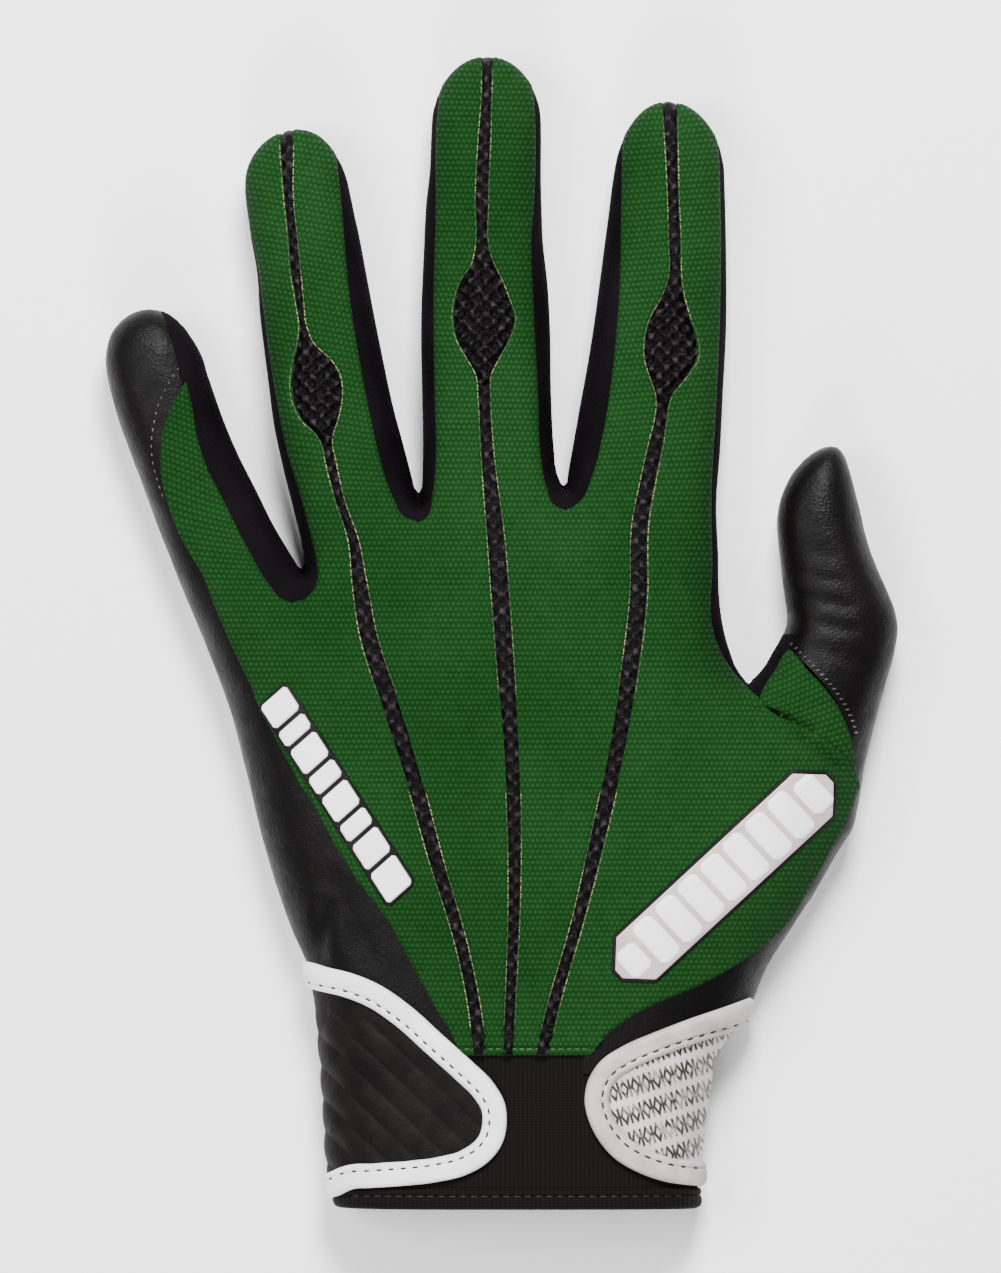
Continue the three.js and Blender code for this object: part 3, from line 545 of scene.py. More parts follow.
class Finish:
    """A material in the making, with the place of a point on the object and on the cloth."""

    def __init__(self, name):
        """An empty material with a shader and its output."""
        self.material = bpy.data.materials.new(name)
        self.material.use_nodes = True
        self.tree = self.material.node_tree
        self.tree.nodes.clear()
        self.shader = self.add("ShaderNodeBsdfPrincipled")
        self.put(self.add("ShaderNodeOutputMaterial"), 0, self.shader.outputs[0])
        self.place = self.add("ShaderNodeTexCoord").outputs["Object"]
        self.cloth = self.add("ShaderNodeUVMap", uv_map="cloth").outputs[0]

    def put(self, node, key, value):
        """Gives a node's input a value or another node's output."""
        if isinstance(value, bpy.types.NodeSocket):
            self.tree.links.new(value, node.inputs[key])
        else:
            node.inputs[key].default_value = value

    def add(self, kind, inputs=None, **settings):
        """A shader node with its settings and inputs."""
        node = self.tree.nodes.new(kind)
        for key, value in settings.items():
            setattr(node, key, value)
        for key, value in (inputs or {}).items():
            self.put(node, key, value)
        return node

    def maths(self, operation, first, second=0.0):
        """One step of arithmetic on two values."""
        return self.add("ShaderNodeMath", {0: first, 1: second}, operation=operation).outputs[0]

    def wave(self, kind, value, rate):
        """The sine or cosine of rate times a value."""
        return self.maths(kind, self.maths("MULTIPLY", value, rate))

    def axes(self, place):
        """The parts of a place along its axes."""
        return self.add("ShaderNodeSeparateXYZ", {0: place}).outputs

    def staggered(self, across_step, down_step):
        """Staggered bumps on the cloth: cos(pi u / across_step) * cos(pi v / down_step)."""
        u, v = self.axes(self.cloth)[:2]
        return self.maths("MULTIPLY", self.wave("COSINE", u, math.pi / across_step),
                          self.wave("COSINE", v, math.pi / down_step))

    def noise(self, scale, detail=2.0):
        """Soft noise with features about 1 / scale metres wide."""
        inputs = {"Vector": self.place, "Scale": scale, "Detail": detail}
        return self.add("ShaderNodeTexNoise", inputs).outputs[0]

    def stretch(self, value, low, high, out_low=0.0, out_high=1.0):
        """A value stretched from one span to another, and held at its ends."""
        inputs = {0: value, 1: low, 2: high, 3: out_low, 4: out_high}
        return self.add("ShaderNodeMapRange", inputs).outputs[0]

    def mix(self, share, dark, light):
        """A mix of two colours, each three numbers or a node's output."""
        inputs = {0: share}
        for key, value in ((6, dark), (7, light)):
            inputs[key] = value if isinstance(value, bpy.types.NodeSocket) else (*value, 1)
        return self.add("ShaderNodeMix", inputs, data_type="RGBA").outputs[2]

    def done(self, colour, roughness, heights, specular, sheen=0.0):
        """The finished material: its colour, its roughness, a bump for each (height, depth), its shine."""
        sockets = {"Base Color": colour, "Roughness": roughness, "Specular IOR Level": specular,
                   "Sheen Weight": sheen}
        for height, depth in heights:
            inputs = {"Height": height, "Distance": depth, "Strength": 1.0}
            if "Normal" in sockets:
                inputs["Normal"] = sockets["Normal"]
            sockets["Normal"] = self.add("ShaderNodeBump", inputs).outputs[0]
        for key, value in sockets.items():
            self.put(self.shader, key, value)
        return self.material


def pebbled_knit():
    """Green knit: rows of small pebbles across it. Their height is 0.7 cos(2 pi v / row), and the
    staggered bumps, cos(pi u / bump) * cos(pi v / row), loosened by noise. The colour follows this
    height: painted shade darkens the hollows and a painted highlight lightens the crests."""
    knit = Finish("pebbled_knit")
    row, bump = 1.12 * MM, 0.52 * MM
    rows = knit.wave("COSINE", knit.axes(knit.cloth)[1], 2 * math.pi / row)
    both = knit.maths("ADD", knit.maths("MULTIPLY", rows, 0.7), knit.staggered(bump, row))
    loose = knit.maths("MULTIPLY", knit.noise(520.0), 1.1)
    pebble = knit.stretch(knit.maths("ADD", both, loose), -0.5, 2.1)
    patchy = knit.stretch(knit.noise(30.0, 3.0), 0.35, 0.65)
    # ground is the hollows' green, darkened as painted shade, and light is the crests' green, lightened as
    # painted highlight; patchy varies both at random.
    ground = knit.mix(patchy, (0.0010, 0.0150, 0.0014), (0.0020, 0.0215, 0.0026))
    light = knit.mix(patchy, (0.0055, 0.0350, 0.0065), (0.0100, 0.0440, 0.0110))
    yarn = knit.noise(3200.0, 1.0)
    return knit.done(knit.mix(pebble, ground, light), knit.stretch(pebble, 0, 1, 0.9, 0.7),
                     [(pebble, 0.20 * MM), (yarn, 0.05 * MM)], 0.04, 0.01)


def strip_mesh():
    """Dark coarse mesh: crossings staggered at mesh_pitch, flecked with plum painted glints, over hollows
    blackened as painted shade.
    """
    mesh = Finish("strip_mesh")
    crossing = mesh.stretch(mesh.staggered(mesh_pitch, mesh_pitch), -0.2, 1.0)
    twist_and_glint = mesh.stretch(mesh.noise(800.0, 3.0), 0.45, 0.62)
    # lit holds the painted glints: near black, turning plum where the twist noise is high. The near black
    # of the hollows is painted shade.
    lit = mesh.mix(twist_and_glint, (0.0018, 0.0009, 0.0014), (0.032, 0.022, 0.028))
    return mesh.done(mesh.mix(crossing, (0.0006, 0.0003, 0.0004), lit), 0.6,
                     [(crossing, 0.15 * MM), (twist_and_glint, 0.15 * MM)], 0.06)


def gusset_knit():
    """Matt black stretch knit with fine staggered bumps, lighter on their crests as painted highlight."""
    knit = Finish("gusset_knit")
    rib = knit.staggered(0.34 * MM, 0.5 * MM)
    ground = knit.mix(knit.stretch(knit.noise(60.0), 0.35, 0.7), (0.0018, 0.0015, 0.0017),
                      (0.005, 0.0035, 0.005))
    # The bumps' crests are lightened as painted highlight; the ground's noise is random tone.
    colour = knit.mix(knit.stretch(rib, 0.2, 1.0, 0, 0.5), ground, (0.010, 0.008, 0.010))
    return knit.done(colour, 0.88, [(rib, 0.07 * MM), (knit.noise(1800.0), 0.05 * MM)], 0.02)


def grained_leather(name, gloss, tint):
    """Black leather: small cells with creases between them, soft folds, painted shade in the crease hollows
    against lighter crests, and lighter worn patches at random.
    """
    hide = Finish(name)
    cells = hide.add("ShaderNodeTexVoronoi", {"Vector": hide.place, "Scale": 1150.0, "Randomness": 0.9},
                     feature="DISTANCE_TO_EDGE")
    grain = hide.stretch(cells.outputs[0], 0.0, 0.32)
    creases = hide.stretch(hide.noise(210.0, 4.0), 0.3, 0.7)
    worn = hide.stretch(hide.noise(45.0, 3.0), 0.45, 0.75)
    # dark is painted shade: near black where the crease height is low, the tint on the crests. worn is
    # random wear.
    dark = hide.mix(creases, (0.0008, 0.0006, 0.0006), tint)
    colour = hide.mix(hide.maths("MULTIPLY", worn, 0.25), dark, (0.0075, 0.0062, 0.0058))
    rough = hide.stretch(creases, 0, 1, gloss + 0.14, gloss)
    return hide.done(colour, rough, [(grain, 0.04 * MM), (creases, 0.13 * MM)], 0.09)


def ribbed_elastic():
    """Black elastic: fine upright cords and faint courses across them, darker in their furrows as painted
    shade.
    """
    band = Finish("ribbed_elastic")
    cord, course = 0.9 * MM, 0.55 * MM
    across, along = band.axes(band.place)[:2]
    cords = band.wave("SINE", across, 2 * math.pi / cord)
    courses = band.maths("MULTIPLY", band.wave("SINE", along, 2 * math.pi / course), 0.5)
    ribs = band.maths("ADD", cords, courses)
    # The colour follows the ribs: painted shade darkens the furrows, and the cords stay lighter.
    colour = band.mix(band.stretch(ribs, -1.5, 1.5), (0.0022, 0.0018, 0.0017), (0.0055, 0.004, 0.0035))
    return band.done(colour, 0.82, [(ribs, 0.035 * MM), (band.noise(1500.0), 0.04 * MM)], 0.05, 0.01)


def bound_piping(name, pale, shade):
    """White coated binding: slight folds, and a trace of grey in the hollows as painted shade."""
    tape = Finish(name)
    creased = tape.stretch(tape.noise(130.0, 3.0), 0.3, 0.7)
    # shade greys the hollows of the folds: painted shade.
    return tape.done(tape.mix(creased, shade, pale), tape.stretch(creased, 0, 1, 0.55, 0.4),
                     [(tape.noise(2200.0), 0.04 * MM), (creased, 0.10 * MM)], 0.4)


def tab_cloth():
    """Pale coated cloth with slanted rows of small grey lozenges and bars, printed unevenly. A cell's
    lozenge is the ring where |u| + |v| stays near 0.31, and the bars between lie where |u| > 0.4."""
    cloth = Finish("tab_cloth")
    cell_width, row_height, slant = 2.3 * MM, 5.2 * MM, math.radians(-17)
    slanted = cloth.add("ShaderNodeMapping", {"Vector": cloth.place, "Rotation": (0, 0, slant)}).outputs[0]
    across, up = cloth.axes(slanted)[:2]
    across = cloth.maths("MULTIPLY", across, 1 / cell_width)
    up = cloth.maths("MULTIPLY", up, 1 / row_height)
    across = cloth.maths("ADD", across, cloth.maths("MULTIPLY", cloth.maths("FLOOR", up), 0.37))
    cell, height = (
        cloth.maths("ABSOLUTE", cloth.maths("SUBTRACT", cloth.maths("FRACT", value), 0.5))
        for value in (across, up))
    off_ring = cloth.maths("SUBTRACT", cloth.maths("ADD", cell, height), 0.31)
    ring = cloth.stretch(cloth.maths("ABSOLUTE", off_ring), 0.16, 0.10)
    bar = cloth.maths("MULTIPLY", cloth.stretch(cell, 0.36, 0.41), cloth.stretch(height, 0.39, 0.35))
    patchy = cloth.stretch(cloth.noise(420.0, 3.0), 0.36, 0.52, 0.5, 1.0)
    ink = cloth.maths("MULTIPLY", cloth.maths("MAXIMUM", ring, bar), patchy)
    ground = cloth.mix(cloth.stretch(cloth.noise(90.0), 0.3, 0.7), (0.40, 0.37, 0.345), (0.55, 0.51, 0.48))
    return cloth.done(cloth.mix(ink, ground, (0.022, 0.018, 0.016)), 0.5,
                      [(cloth.noise(1900.0), 0.05 * MM)], 0.3)


def moulded_rubber(name, pale, shade, shine=0.45):
    """Soft rubber in two shades, patchy, with a fine satin grain."""
    rubber = Finish(name)
    colour = rubber.mix(rubber.stretch(rubber.noise(75.0), 0.35, 0.7), pale, shade)
    return rubber.done(colour, 0.42, [(rubber.noise(2400.0), 0.02 * MM)], shine)


def thread(name, pale, shade):
    """Sewing thread, twisted: two shades in short slanted bands, the darker one painted shade in the
    grooves of the twist, and worn in places.
    """
    yarn = Finish(name)
    bands = yarn.add("ShaderNodeTexWave", {"Vector": yarn.place, "Scale": 900.0, "Distortion": 1.5},
                     bands_direction="DIAGONAL").outputs[1]
    worn = yarn.stretch(yarn.noise(110.0, 3.0), 0.44, 0.62)
    # shade colours the grooves of the twist as painted shade, and also the worn places.
    colour = yarn.mix(yarn.maths("MULTIPLY", bands, worn), shade, pale)
    return yarn.done(colour, 0.6, [(bands, 0.04 * MM)], 0.35)


def paper_floor():
    """Plain pale floor."""
    paper = Finish("pale_floor")
    colour = paper.mix(paper.noise(3.0), (0.93, 0.93, 0.93), (0.95, 0.95, 0.95))
    return paper.done(colour, 0.9, [], 0.1)


GREEN_KNIT = pebbled_knit()
STRIP_MESH = strip_mesh()
GUSSET_KNIT = gusset_knit()
LEATHER = grained_leather("grained_leather", 0.42, (0.0026, 0.0021, 0.0020))
STRAP_CLOTH = grained_leather("ribbed_strap", 0.58, (0.0042, 0.0027, 0.0024))
ELASTIC = ribbed_elastic()
WHITE_PIPING = bound_piping("white_piping", (0.86, 0.86, 0.87), (0.66, 0.66, 0.69))
SILVER_PIPING = bound_piping("silver_piping", (0.50, 0.47, 0.45), (0.28, 0.26, 0.245))
TAB_CLOTH = tab_cloth()
WHITE_RUBBER = moulded_rubber("white_rubber", (0.88, 0.87, 0.87), (0.78, 0.74, 0.74))
# The thumb patch's field, sunk between the bars: pinkish grey darkened as painted shade of the grooves.
GROOVE_SHADE_RUBBER = moulded_rubber("groove_shade_rubber", (0.50, 0.40, 0.40), (0.36, 0.28, 0.28))
BLACK_RUBBER = moulded_rubber("black_rubber", (0.004, 0.004, 0.004), (0.008, 0.007, 0.007), 0.08)
TAN_THREAD = thread("tan_thread", (0.30, 0.27, 0.14), (0.020, 0.035, 0.012))
DARK_THREAD = thread("dark_thread", (0.012, 0.011, 0.012), (0.003, 0.003, 0.003))
PALE_THREAD = thread("pale_thread", (0.13, 0.10, 0.12), (0.03, 0.022, 0.028))
GREEN_THREAD = thread("green_thread", (0.020, 0.11, 0.028), (0.006, 0.045, 0.008))

TUCK = 5.0                       # how far a lower layer runs under the one above it, in pixels
UNDER = side_drop / PIXEL        # how far a side wall runs past the outline, in pixels
digits = list(tips)

# Rows where pieces start, end or change their edge.
KNIT_FOOT = 1042
STRIP_FOOT = 1053
STITCH_FOOT = 1034               # of the stitches along the strips
CAP_FOOT = 380                   # the leather cap of the little finger
CAP_ROLL_FOOT = 392
OUTER_FOOT = 1062
THUMB_SEAM_TOP = 640
THUMB_FOOT = 822                 # where the thumb's leather meets the heel's
HEEL_FOOT = 1072
STRAP_EDGE, TAB_EDGE = 970, 1010     # where the leather's edge goes from the outline to the piping
strap_span = (980, 1182)
tab_span = (1012, 1178)
fold_span = (645, 786)           # the piece at the foot of the thumb
cuff_span = (1034, 1186)
cuff_foot = [1190, 1193]
crotches = {"little": 576, "ring": 507, "middle": 492, "index": 683}
knit_crotches = {"little": 603, "ring": 523, "middle": 511}
knit_tops = {"little": 376}

# How the cloth turns with each digit: middle (down, across), degrees, and where it is straight again.
cloth_turns = {
    "little": (520, 210, 20.6, 470, 600),
    "ring": (470, 345, 10.5, 400, 520),
    "middle": (450, 487, 1.0, 400, 520),
    "index": (450, 645, -5.0, 400, 520),
    "thumb": (700, 800, -28, 600, 900),
}


def within(digit, down, across):
    """An edge kept inside the finger's own side walls, as far down as these go."""
    low = side_edge(digit, -1, down, UNDER)
    high = side_edge(digit, 1, down, UNDER)
    low = np.where(down > LEFT_EDGES[digit][-1][0], -np.inf, low)
    high = np.where(down > RIGHT_EDGES[digit][-1][0], np.inf, high)
    return np.clip(across, low, high)


def strip_line(finger, side):
    """A strip's left (-1) or right (1) edge, as a function of the row."""
    return lambda down: curve(strips[finger]["rows"], down, 1 if side < 0 else 2)


def edge_line(table, crotch=math.inf, web=None):
    """An edge as a function of the row: its table above the crotch and the line of the web below it."""
    return lambda down: np.where(down < crotch, curve(table, down), curve(web or table, down))


def finger_rows(digit, crotch, foot, top=None, step=4.0):
    """Rows from over the fingertip to the crotch, and on to the foot at steps that lanes share."""
    start = tips[digit]["tip"][0] - UNDER if top is None else top
    upper = rows_down(start, crotch, step, 14)
    return np.concatenate([upper, rows_down(crotch, foot, step)[1:]]) if foot > crotch else upper


tip_fade = 24                    # rows over which the roll of the knit's edge grows at a fingertip
tip_roll = 0.2                   # the share of it that is there from the start
fold_start, fold_end = (690, 700), (785, 795)    # where the fold at the thumb hides the edge
fold_slip = (711, 718)           # where the fold's inner edge slips under the knit


def knit_lane(digit, crotch, left, right, cut, count=34):
    """One half finger of the knit back with its run down to the hem. cut says which edges roll below
    the crotch; above it both do."""
    down = finger_rows(digit, crotch, KNIT_FOOT, knit_tops.get(digit))
    edges = [within(digit, down, edge(down)) for edge in (left, right)]
    tip_down = tips[digit]["tip"][0]
    roll = tip_roll + (1 - tip_roll) * ease(down, tip_down, tip_down + tip_fade)
    roll = roll * (1 - ease(down, *fold_start) * (1 - ease(down, *fold_end)))
    rolls = [roll * ((down < crotch) | is_cut) for is_cut in cut]
    return lane(down, edges[0], edges[1], count, knit_lift, rolls, turn=cloth_turns[digit])


for first, second in zip(digits, digits[1:4]):
    crotch, web = knit_crotches[first], webs[first]
    outer = edge_line(knit_left["little"]) if first == "little" else strip_line(first, 1)
    add_piece(f"{first}_panel", [
        knit_lane(first, crotch, outer, edge_line(knit_right[first], crotch, web), (True, False)),
        knit_lane(second, crotch, edge_line(knit_left[second], crotch, web), strip_line(second, -1),
                  (False, True)),
    ], GREEN_KNIT, knit_wall, "back_knit", f"back_panel_{first}")
add_piece("index_panel", [
    knit_lane("index", knit_crotches["middle"], strip_line("index", 1), edge_line(knit_right["index"]),
              (True, True), 60),
], GREEN_KNIT, knit_wall, "back_knit", "back_panel_index")

fold_rows = rows_down(*fold_span, 2.0, 6)
fold_edge = curve(knit_left["thumb"], fold_rows)
# Where fold_slip starts, the piece's edge leaves a thin slit over the black gusset, which stands in for the
# shade of the crease at the web.
fold_tuck = TUCK * np.hypot(1, np.gradient(fold_edge, fold_rows)) * ease(fold_rows, *fold_slip)
fold_outer = np.maximum(curve(knit_right["thumb"], fold_rows), fold_edge)
fold_lane = lane(fold_rows, fold_edge - fold_tuck, fold_outer, 30, fold_lift, (True, True),
                 turn=cloth_turns["thumb"])
add_piece("thumb_back_piece", [fold_lane], GREEN_KNIT, knit_wall, "back_knit", "thumb_back")


def weave(down, across, deep):
    """Raised crossings of the mesh: deep * cos(pi u / mesh_pitch) * cos(pi v / mesh_pitch)."""
    down_wave = np.cos(math.pi * down * PIXEL / mesh_pitch)
    return deep * np.cos(math.pi * across * PIXEL / mesh_pitch) * down_wave


tip_level, tip_level_run = 0.6 * MM, 26
band_level, band_rows = 1.35 * MM, (1026, 1037)
strip_tuck = 3                   # how far a strip runs under the knit, in pixels
hidden_rows = (1024, 1031)       # where it runs out from under it
strip_wall = 0.5 * MM


def strip_lane(finger, start, foot, count, step, bulge, deep):
    """A run of a mesh strip, with its crossings raised and its middle bulging. It comes up to the knit's
    level over the fingertip, and over the hem band."""
    tip_down = tips[finger]["tip"][0]
    down = rows_down(start, foot, step)
    left, right = (strip_line(finger, side)(down) for side in (-1, 1))
    centre = ((left + right) / 2)[:, None]
    half = ((right - left) / 2)[:, None]

    def relief(rows, across):
        """The crossings, the bulge and the run up to the knit's level."""
        share = np.clip(np.abs(across - centre) / half, 0, 1)
        level = tip_level * (1 - ease(rows, tip_down, tip_down + tip_level_run))
        level = level + band_level * ease(rows, *band_rows)
        return weave(rows, across, deep) + bulge * (1 - share ** 2) + level

    hidden = strip_tuck * (1 - ease(down, *hidden_rows))
    left, right = within(finger, down, left - hidden), within(finger, down, right + hidden)
    return lane(down, left, right, count, strip_lift, relief=relief)


# A plain run of a strip and its knuckle patch: points across, row step, bulge and depth of the mesh.
plain_run = (14, 1.2, 0.3 * MM, 0.14 * MM)
knuckle_run = (70, 0.8, 0.95 * MM, 0.4 * MM)
for finger, strip in strips.items():
    top = tips[finger]["tip"][0] - UNDER
    knuckle_top, knuckle_foot = strip["knuckle"]
    runs = {
        "finger_strip": (top, knuckle_top, *plain_run),
        "knuckle_mesh": (knuckle_top, knuckle_foot, *knuckle_run),
        "back_strip": (knuckle_foot, STRIP_FOOT, *plain_run),
    }
    for kind, run in runs.items():
        add_piece(f"{kind}_of_{finger}", [strip_lane(finger, *run)], STRIP_MESH, strip_wall, "strip_mesh",
                  f"{kind}_{finger}")


def gusset_lane(digit, side, top, crotch, foot, knit_edge, web):
    """A finger's side wall, from the outline to TUCK under the knit's edge."""
    down = finger_rows(digit, crotch, foot, top)
    wall_edge = np.where(down < crotch, side_edge(digit, side, down, UNDER), curve(web, down))
    inner = knit_edge(down) - side * TUCK
    if side > 0:
        left, right = np.minimum(inner, wall_edge), wall_edge
    else:
        left, right = wall_edge, np.maximum(inner, wall_edge)
    return lane(down, left, right, 16, gusset_lift)


# The gusset beside each digit: its foot, and where its left and right walls start. None is over the tip.
gusset_rows = {
    "little": (609, None, 192),
    "ring": (528, 138, 90),
    "middle": (516, 80, 125),
    "index": (714, 130, 634),
}
for first, second in zip(digits, digits[1:]):
    crotch, web = crotches[first], webs[first]
    foot, first_top, second_top = gusset_rows[first]
    inner = edge_line(knit_right[first])
    if first == "little":
        inner = edge_line(cap_edge, CAP_FOOT, knit_right[first])
    add_piece(f"{first}_{second}_gusset", [
        gusset_lane(first, 1, first_top, crotch, foot, inner, web),
        gusset_lane(second, -1, second_top, crotch, foot, edge_line(knit_left[second]), web),
    ], GUSSET_KNIT, leather_wall, "gusset_knit", f"gusset_{first}_{second}")

# Middle line of the strap's and the tab's piping, as (down, across).
strap_line = [
    (973, 302), (978, 322), (984, 348), (995, 375), (1015, 404), (1042, 434), (1069, 464), (1089, 484),
    (1105, 493), (1121, 494.5), (1137, 491), (1151, 480), (1161, 463), (1168, 435), (1172, 400),
    (1174, 372), (1176, 350), (1183, 335), (1187, 326)]
tab_line = [
    (1009, 754), (1017, 731), (1029, 694), (1042, 659), (1056, 627), (1069, 608), (1085, 598.5),
    (1099, 596.5), (1115, 600), (1131, 608), (1147, 622), (1159, 642), (1168, 667), (1172, 691),
    (1174, 706)]
PIPE_HALF = 12.2                 # half the width of the piping, in pixels
PIPE_TUCK = 4                    # how far the leather runs under it, in pixels


def line_place(line, rows):
    """Across place of a bowed line in each row."""
    down, across = np.array(line, float).T
    order = np.argsort(down)
    return np.interp(rows, down[order], across[order])


def leather_piece(name, node, rows, left, right, roll=NO_ROLL):
    """A run of leather down the side of the glove. It ends where its edges meet."""
    grid = lane(rows, left, np.maximum(right, left), 30, leather_lift, roll)
    add_piece(name, [grid], LEATHER, leather_wall, "dark_leather", node)


outer_rows = finger_rows("little", CAP_FOOT, OUTER_FOOT)
knit_side = curve(knit_left["little"], outer_rows)
outer_left = np.where(outer_rows < STRAP_EDGE, side_edge("little", -1, outer_rows, UNDER),
                      np.minimum(line_place(strap_line, outer_rows) - PIPE_TUCK, knit_side))
outer_right = np.where(outer_rows < CAP_FOOT, curve(cap_edge, outer_rows), knit_side + TUCK)
leather_piece("outer_leather_piece", "outer_leather", outer_rows, outer_left,
              within("little", outer_rows, outer_right), (False, outer_rows < CAP_ROLL_FOOT))

thumb_rows = finger_rows("thumb", THUMB_SEAM_TOP, THUMB_FOOT)
thumb_inner = np.where(thumb_rows < THUMB_SEAM_TOP, side_edge("thumb", -1, thumb_rows, UNDER),
                       curve(thumb_seam, thumb_rows) - TUCK)
leather_piece("thumb_leather_piece", "thumb_leather", thumb_rows, thumb_inner,
              side_edge("thumb", 1, thumb_rows, UNDER))
heel_rows = rows_down(THUMB_FOOT, HEEL_FOOT)
heel_outer = np.where(heel_rows < TAB_EDGE, side_edge("thumb", 1, heel_rows, UNDER),
                      line_place(tab_line, heel_rows) + PIPE_TUCK)
leather_piece("heel_leather_piece", "heel_leather", heel_rows, curve(knit_right["index"], heel_rows) - TUCK,
              heel_outer)


def path_samples(line, step=2.0, soft=14):
    """A smooth path through a line's points: places and their inner normals. Samples are even along it
    and closer at both ends, where it turns under the side of the glove."""
    points = np.array(line, float)
    along = np.concatenate([[0], np.cumsum(np.hypot(*np.diff(points, axis=0).T))])
    half = rows_down(0, along[-1] / 2, step, soft)
    at = np.concatenate([half, along[-1] - half[-2::-1]])
    keys = np.column_stack([along, points])
    down, across = curve(keys, at, 1), curve(keys, at, 2)
    run_down, run_across = np.gradient(down, at), np.gradient(across, at)
    length = np.hypot(run_down, run_across)
    return down, across, run_across / length, -run_down / length


pipe_base = 0.1 * MM
pipe_height = 1.25 * MM
pipe_power = 3.2
channel_depth = 0.38 * MM        # the sewn channel
channel_place, channel_width = 0.42, 0.11    # shares of PIPE_HALF
pipe_wall = 0.6 * MM


def piping(name, node, line, inner, material):
    """A rolled binding: lift = pipe_base + pipe_height * (1 - |o|^pipe_power)^(1/2), less a channel of
    channel_depth * exp(-((o - channel_place) / channel_width)^2), where o runs from -1 at the outer edge
    to 1 at the inner one."""
    o = -np.cos(np.linspace(0, math.pi, 25))
    lifts = pipe_base + pipe_height * np.sqrt(np.clip(1 - np.abs(o) ** pipe_power, 0, 1))
    lifts = lifts - channel_depth * np.exp(-((o - channel_place) / channel_width) ** 2)
    offsets = o * PIPE_HALF * inner
    down, across, normal_down, normal_across = path_samples(line)
    rows = down[:, None] + normal_down[:, None] * offsets
    places = across[:, None] + normal_across[:, None] * offsets
    grid = skin_grid(rows, places, np.broadcast_to(lifts, rows.shape), flip=inner > 0)
    add_piece(name, [grid], material, pipe_wall, "piping", node)


piping("strap_binding", "strap_piping", strap_line, 1, WHITE_PIPING)
piping("tab_binding", "tab_piping", tab_line, -1, SILVER_PIPING)

rib_pitch = 4.5 * MM
rib_height = 0.45 * MM
rib_slope = 0.95                 # pixels down for each pixel across
rib_fade = (1000, 1040)          # rows over which the ribs come in
rib_fullness = 0.8


def strap_ribs(down, across):
    """Padded ribs across the strap: rib_height * |sin(pi s / rib_pitch)|^rib_fullness, where s is the
    distance square to them, fading out towards the strap's top."""
    square = (down - rib_slope * across) * PIXEL / math.hypot(1, rib_slope)
    wave = np.abs(np.sin(math.pi * square / rib_pitch))
    return rib_height * ease(down, *rib_fade) * wave ** rib_fullness


strap_rows = rows_down(*strap_span, 1.6)
strap_left = side_edge("little", -1, strap_rows, UNDER)
strap_right = np.maximum(line_place(strap_line, strap_rows), strap_left)
strap_lane = lane(strap_rows, strap_left, strap_right, 90, relief=strap_ribs)
add_piece("strap_cloth_panel", [strap_lane], STRAP_CLOTH, leather_wall, "strap_leather", "strap_panel")
tab_rows = rows_down(*tab_span, 2.5)
tab_right = side_edge("thumb", 1, tab_rows, UNDER)
tab_left = np.minimum(line_place(tab_line, tab_rows), tab_right)
tab_lane = lane(tab_rows, tab_left, tab_right, 40, tab_lift)
add_piece("tab_cloth_panel", [tab_lane], TAB_CLOTH, leather_wall, "tab_fabric", "tab_panel")

RING_STEPS = 220
palm_turn = 0.35                 # the sine of the turn past the side where the palm's lift is full


def wrist_ring(rows, lifts, lift_palm):
    """Rings round the wrist: across = middle + half * cos(angle), on the back for the first half turn
    and on the palm for the second. lifts apply on the back and lift_palm is added on the palm."""
    angle = np.linspace(0, 2 * math.pi, RING_STEPS, endpoint=False)
    rows = np.broadcast_to(np.asarray(rows, float)[:, None], (len(rows), RING_STEPS))
    left = side_edge("little", -1, rows)
    right = side_edge("thumb", 1, rows)
    across = left + (right - left) * (1 + np.cos(angle)) / 2
    side = np.where(np.sin(angle) >= 0, 1, -1)
    deeper = lift_palm * ease(-np.sin(angle), 0.0, palm_turn)
    return skin_grid(rows, across, np.asarray(lifts)[:, None] + deeper, side, wrap=True, flip=True)


cuff_lift, cuff_palm_lift = -0.75 * MM, -0.55 * MM
cuff_rows = np.concatenate([rows_down(*cuff_span), cuff_foot])
cuff_ring = wrist_ring(cuff_rows, np.full(len(cuff_rows), cuff_lift), cuff_palm_lift)
add_piece("elastic_cuff_band", [cuff_ring], ELASTIC, leather_wall, "cuff_elastic", "cuff_elastic")

# Section of the rolled hem round the wrist: (down, lift in millimetres), once round.
hem_section = [
    (1190, -2.3), (1188.2, -1.9), (1187, -1.1), (1187.2, -0.5), (1188.6, -0.12), (1191, 0.0),
    (1193.4, -0.1), (1194.6, -0.38), (1195.8, -0.1), (1198, 0.05), (1201.5, 0.05), (1204.6, -0.15),
    (1206.8, -0.6), (1208, -1.3), (1207.4, -2.0), (1205, -2.45), (1198, -2.6), (1192, -2.5),
    (1190, -2.3)]
hem_down, hem_lift = np.array(hem_section).T
hem_ring = wrist_ring(hem_down, hem_lift * MM, 0)
add_piece("rolled_cuff_hem", [hem_ring], ELASTIC, 0.0, "cuff_elastic", "cuff_hem")

# The hem band of the knit back: rows, and their lifts in millimetres.
hem_rows = np.array([1036.5, 1037, 1038.5, 1041, 1044, 1046, 1047.5, 1049, 1051.5, 1053.2, 1054])
hem_lifts = np.array([-0.3, 0.1, 0.45, 0.62, 0.5, 0.28, 0.12, 0.38, 0.42, 0.15, -0.4]) * MM


def band_relief(down, across):
    """The band's lift in each row."""
    return np.interp(down, hem_rows, hem_lifts)


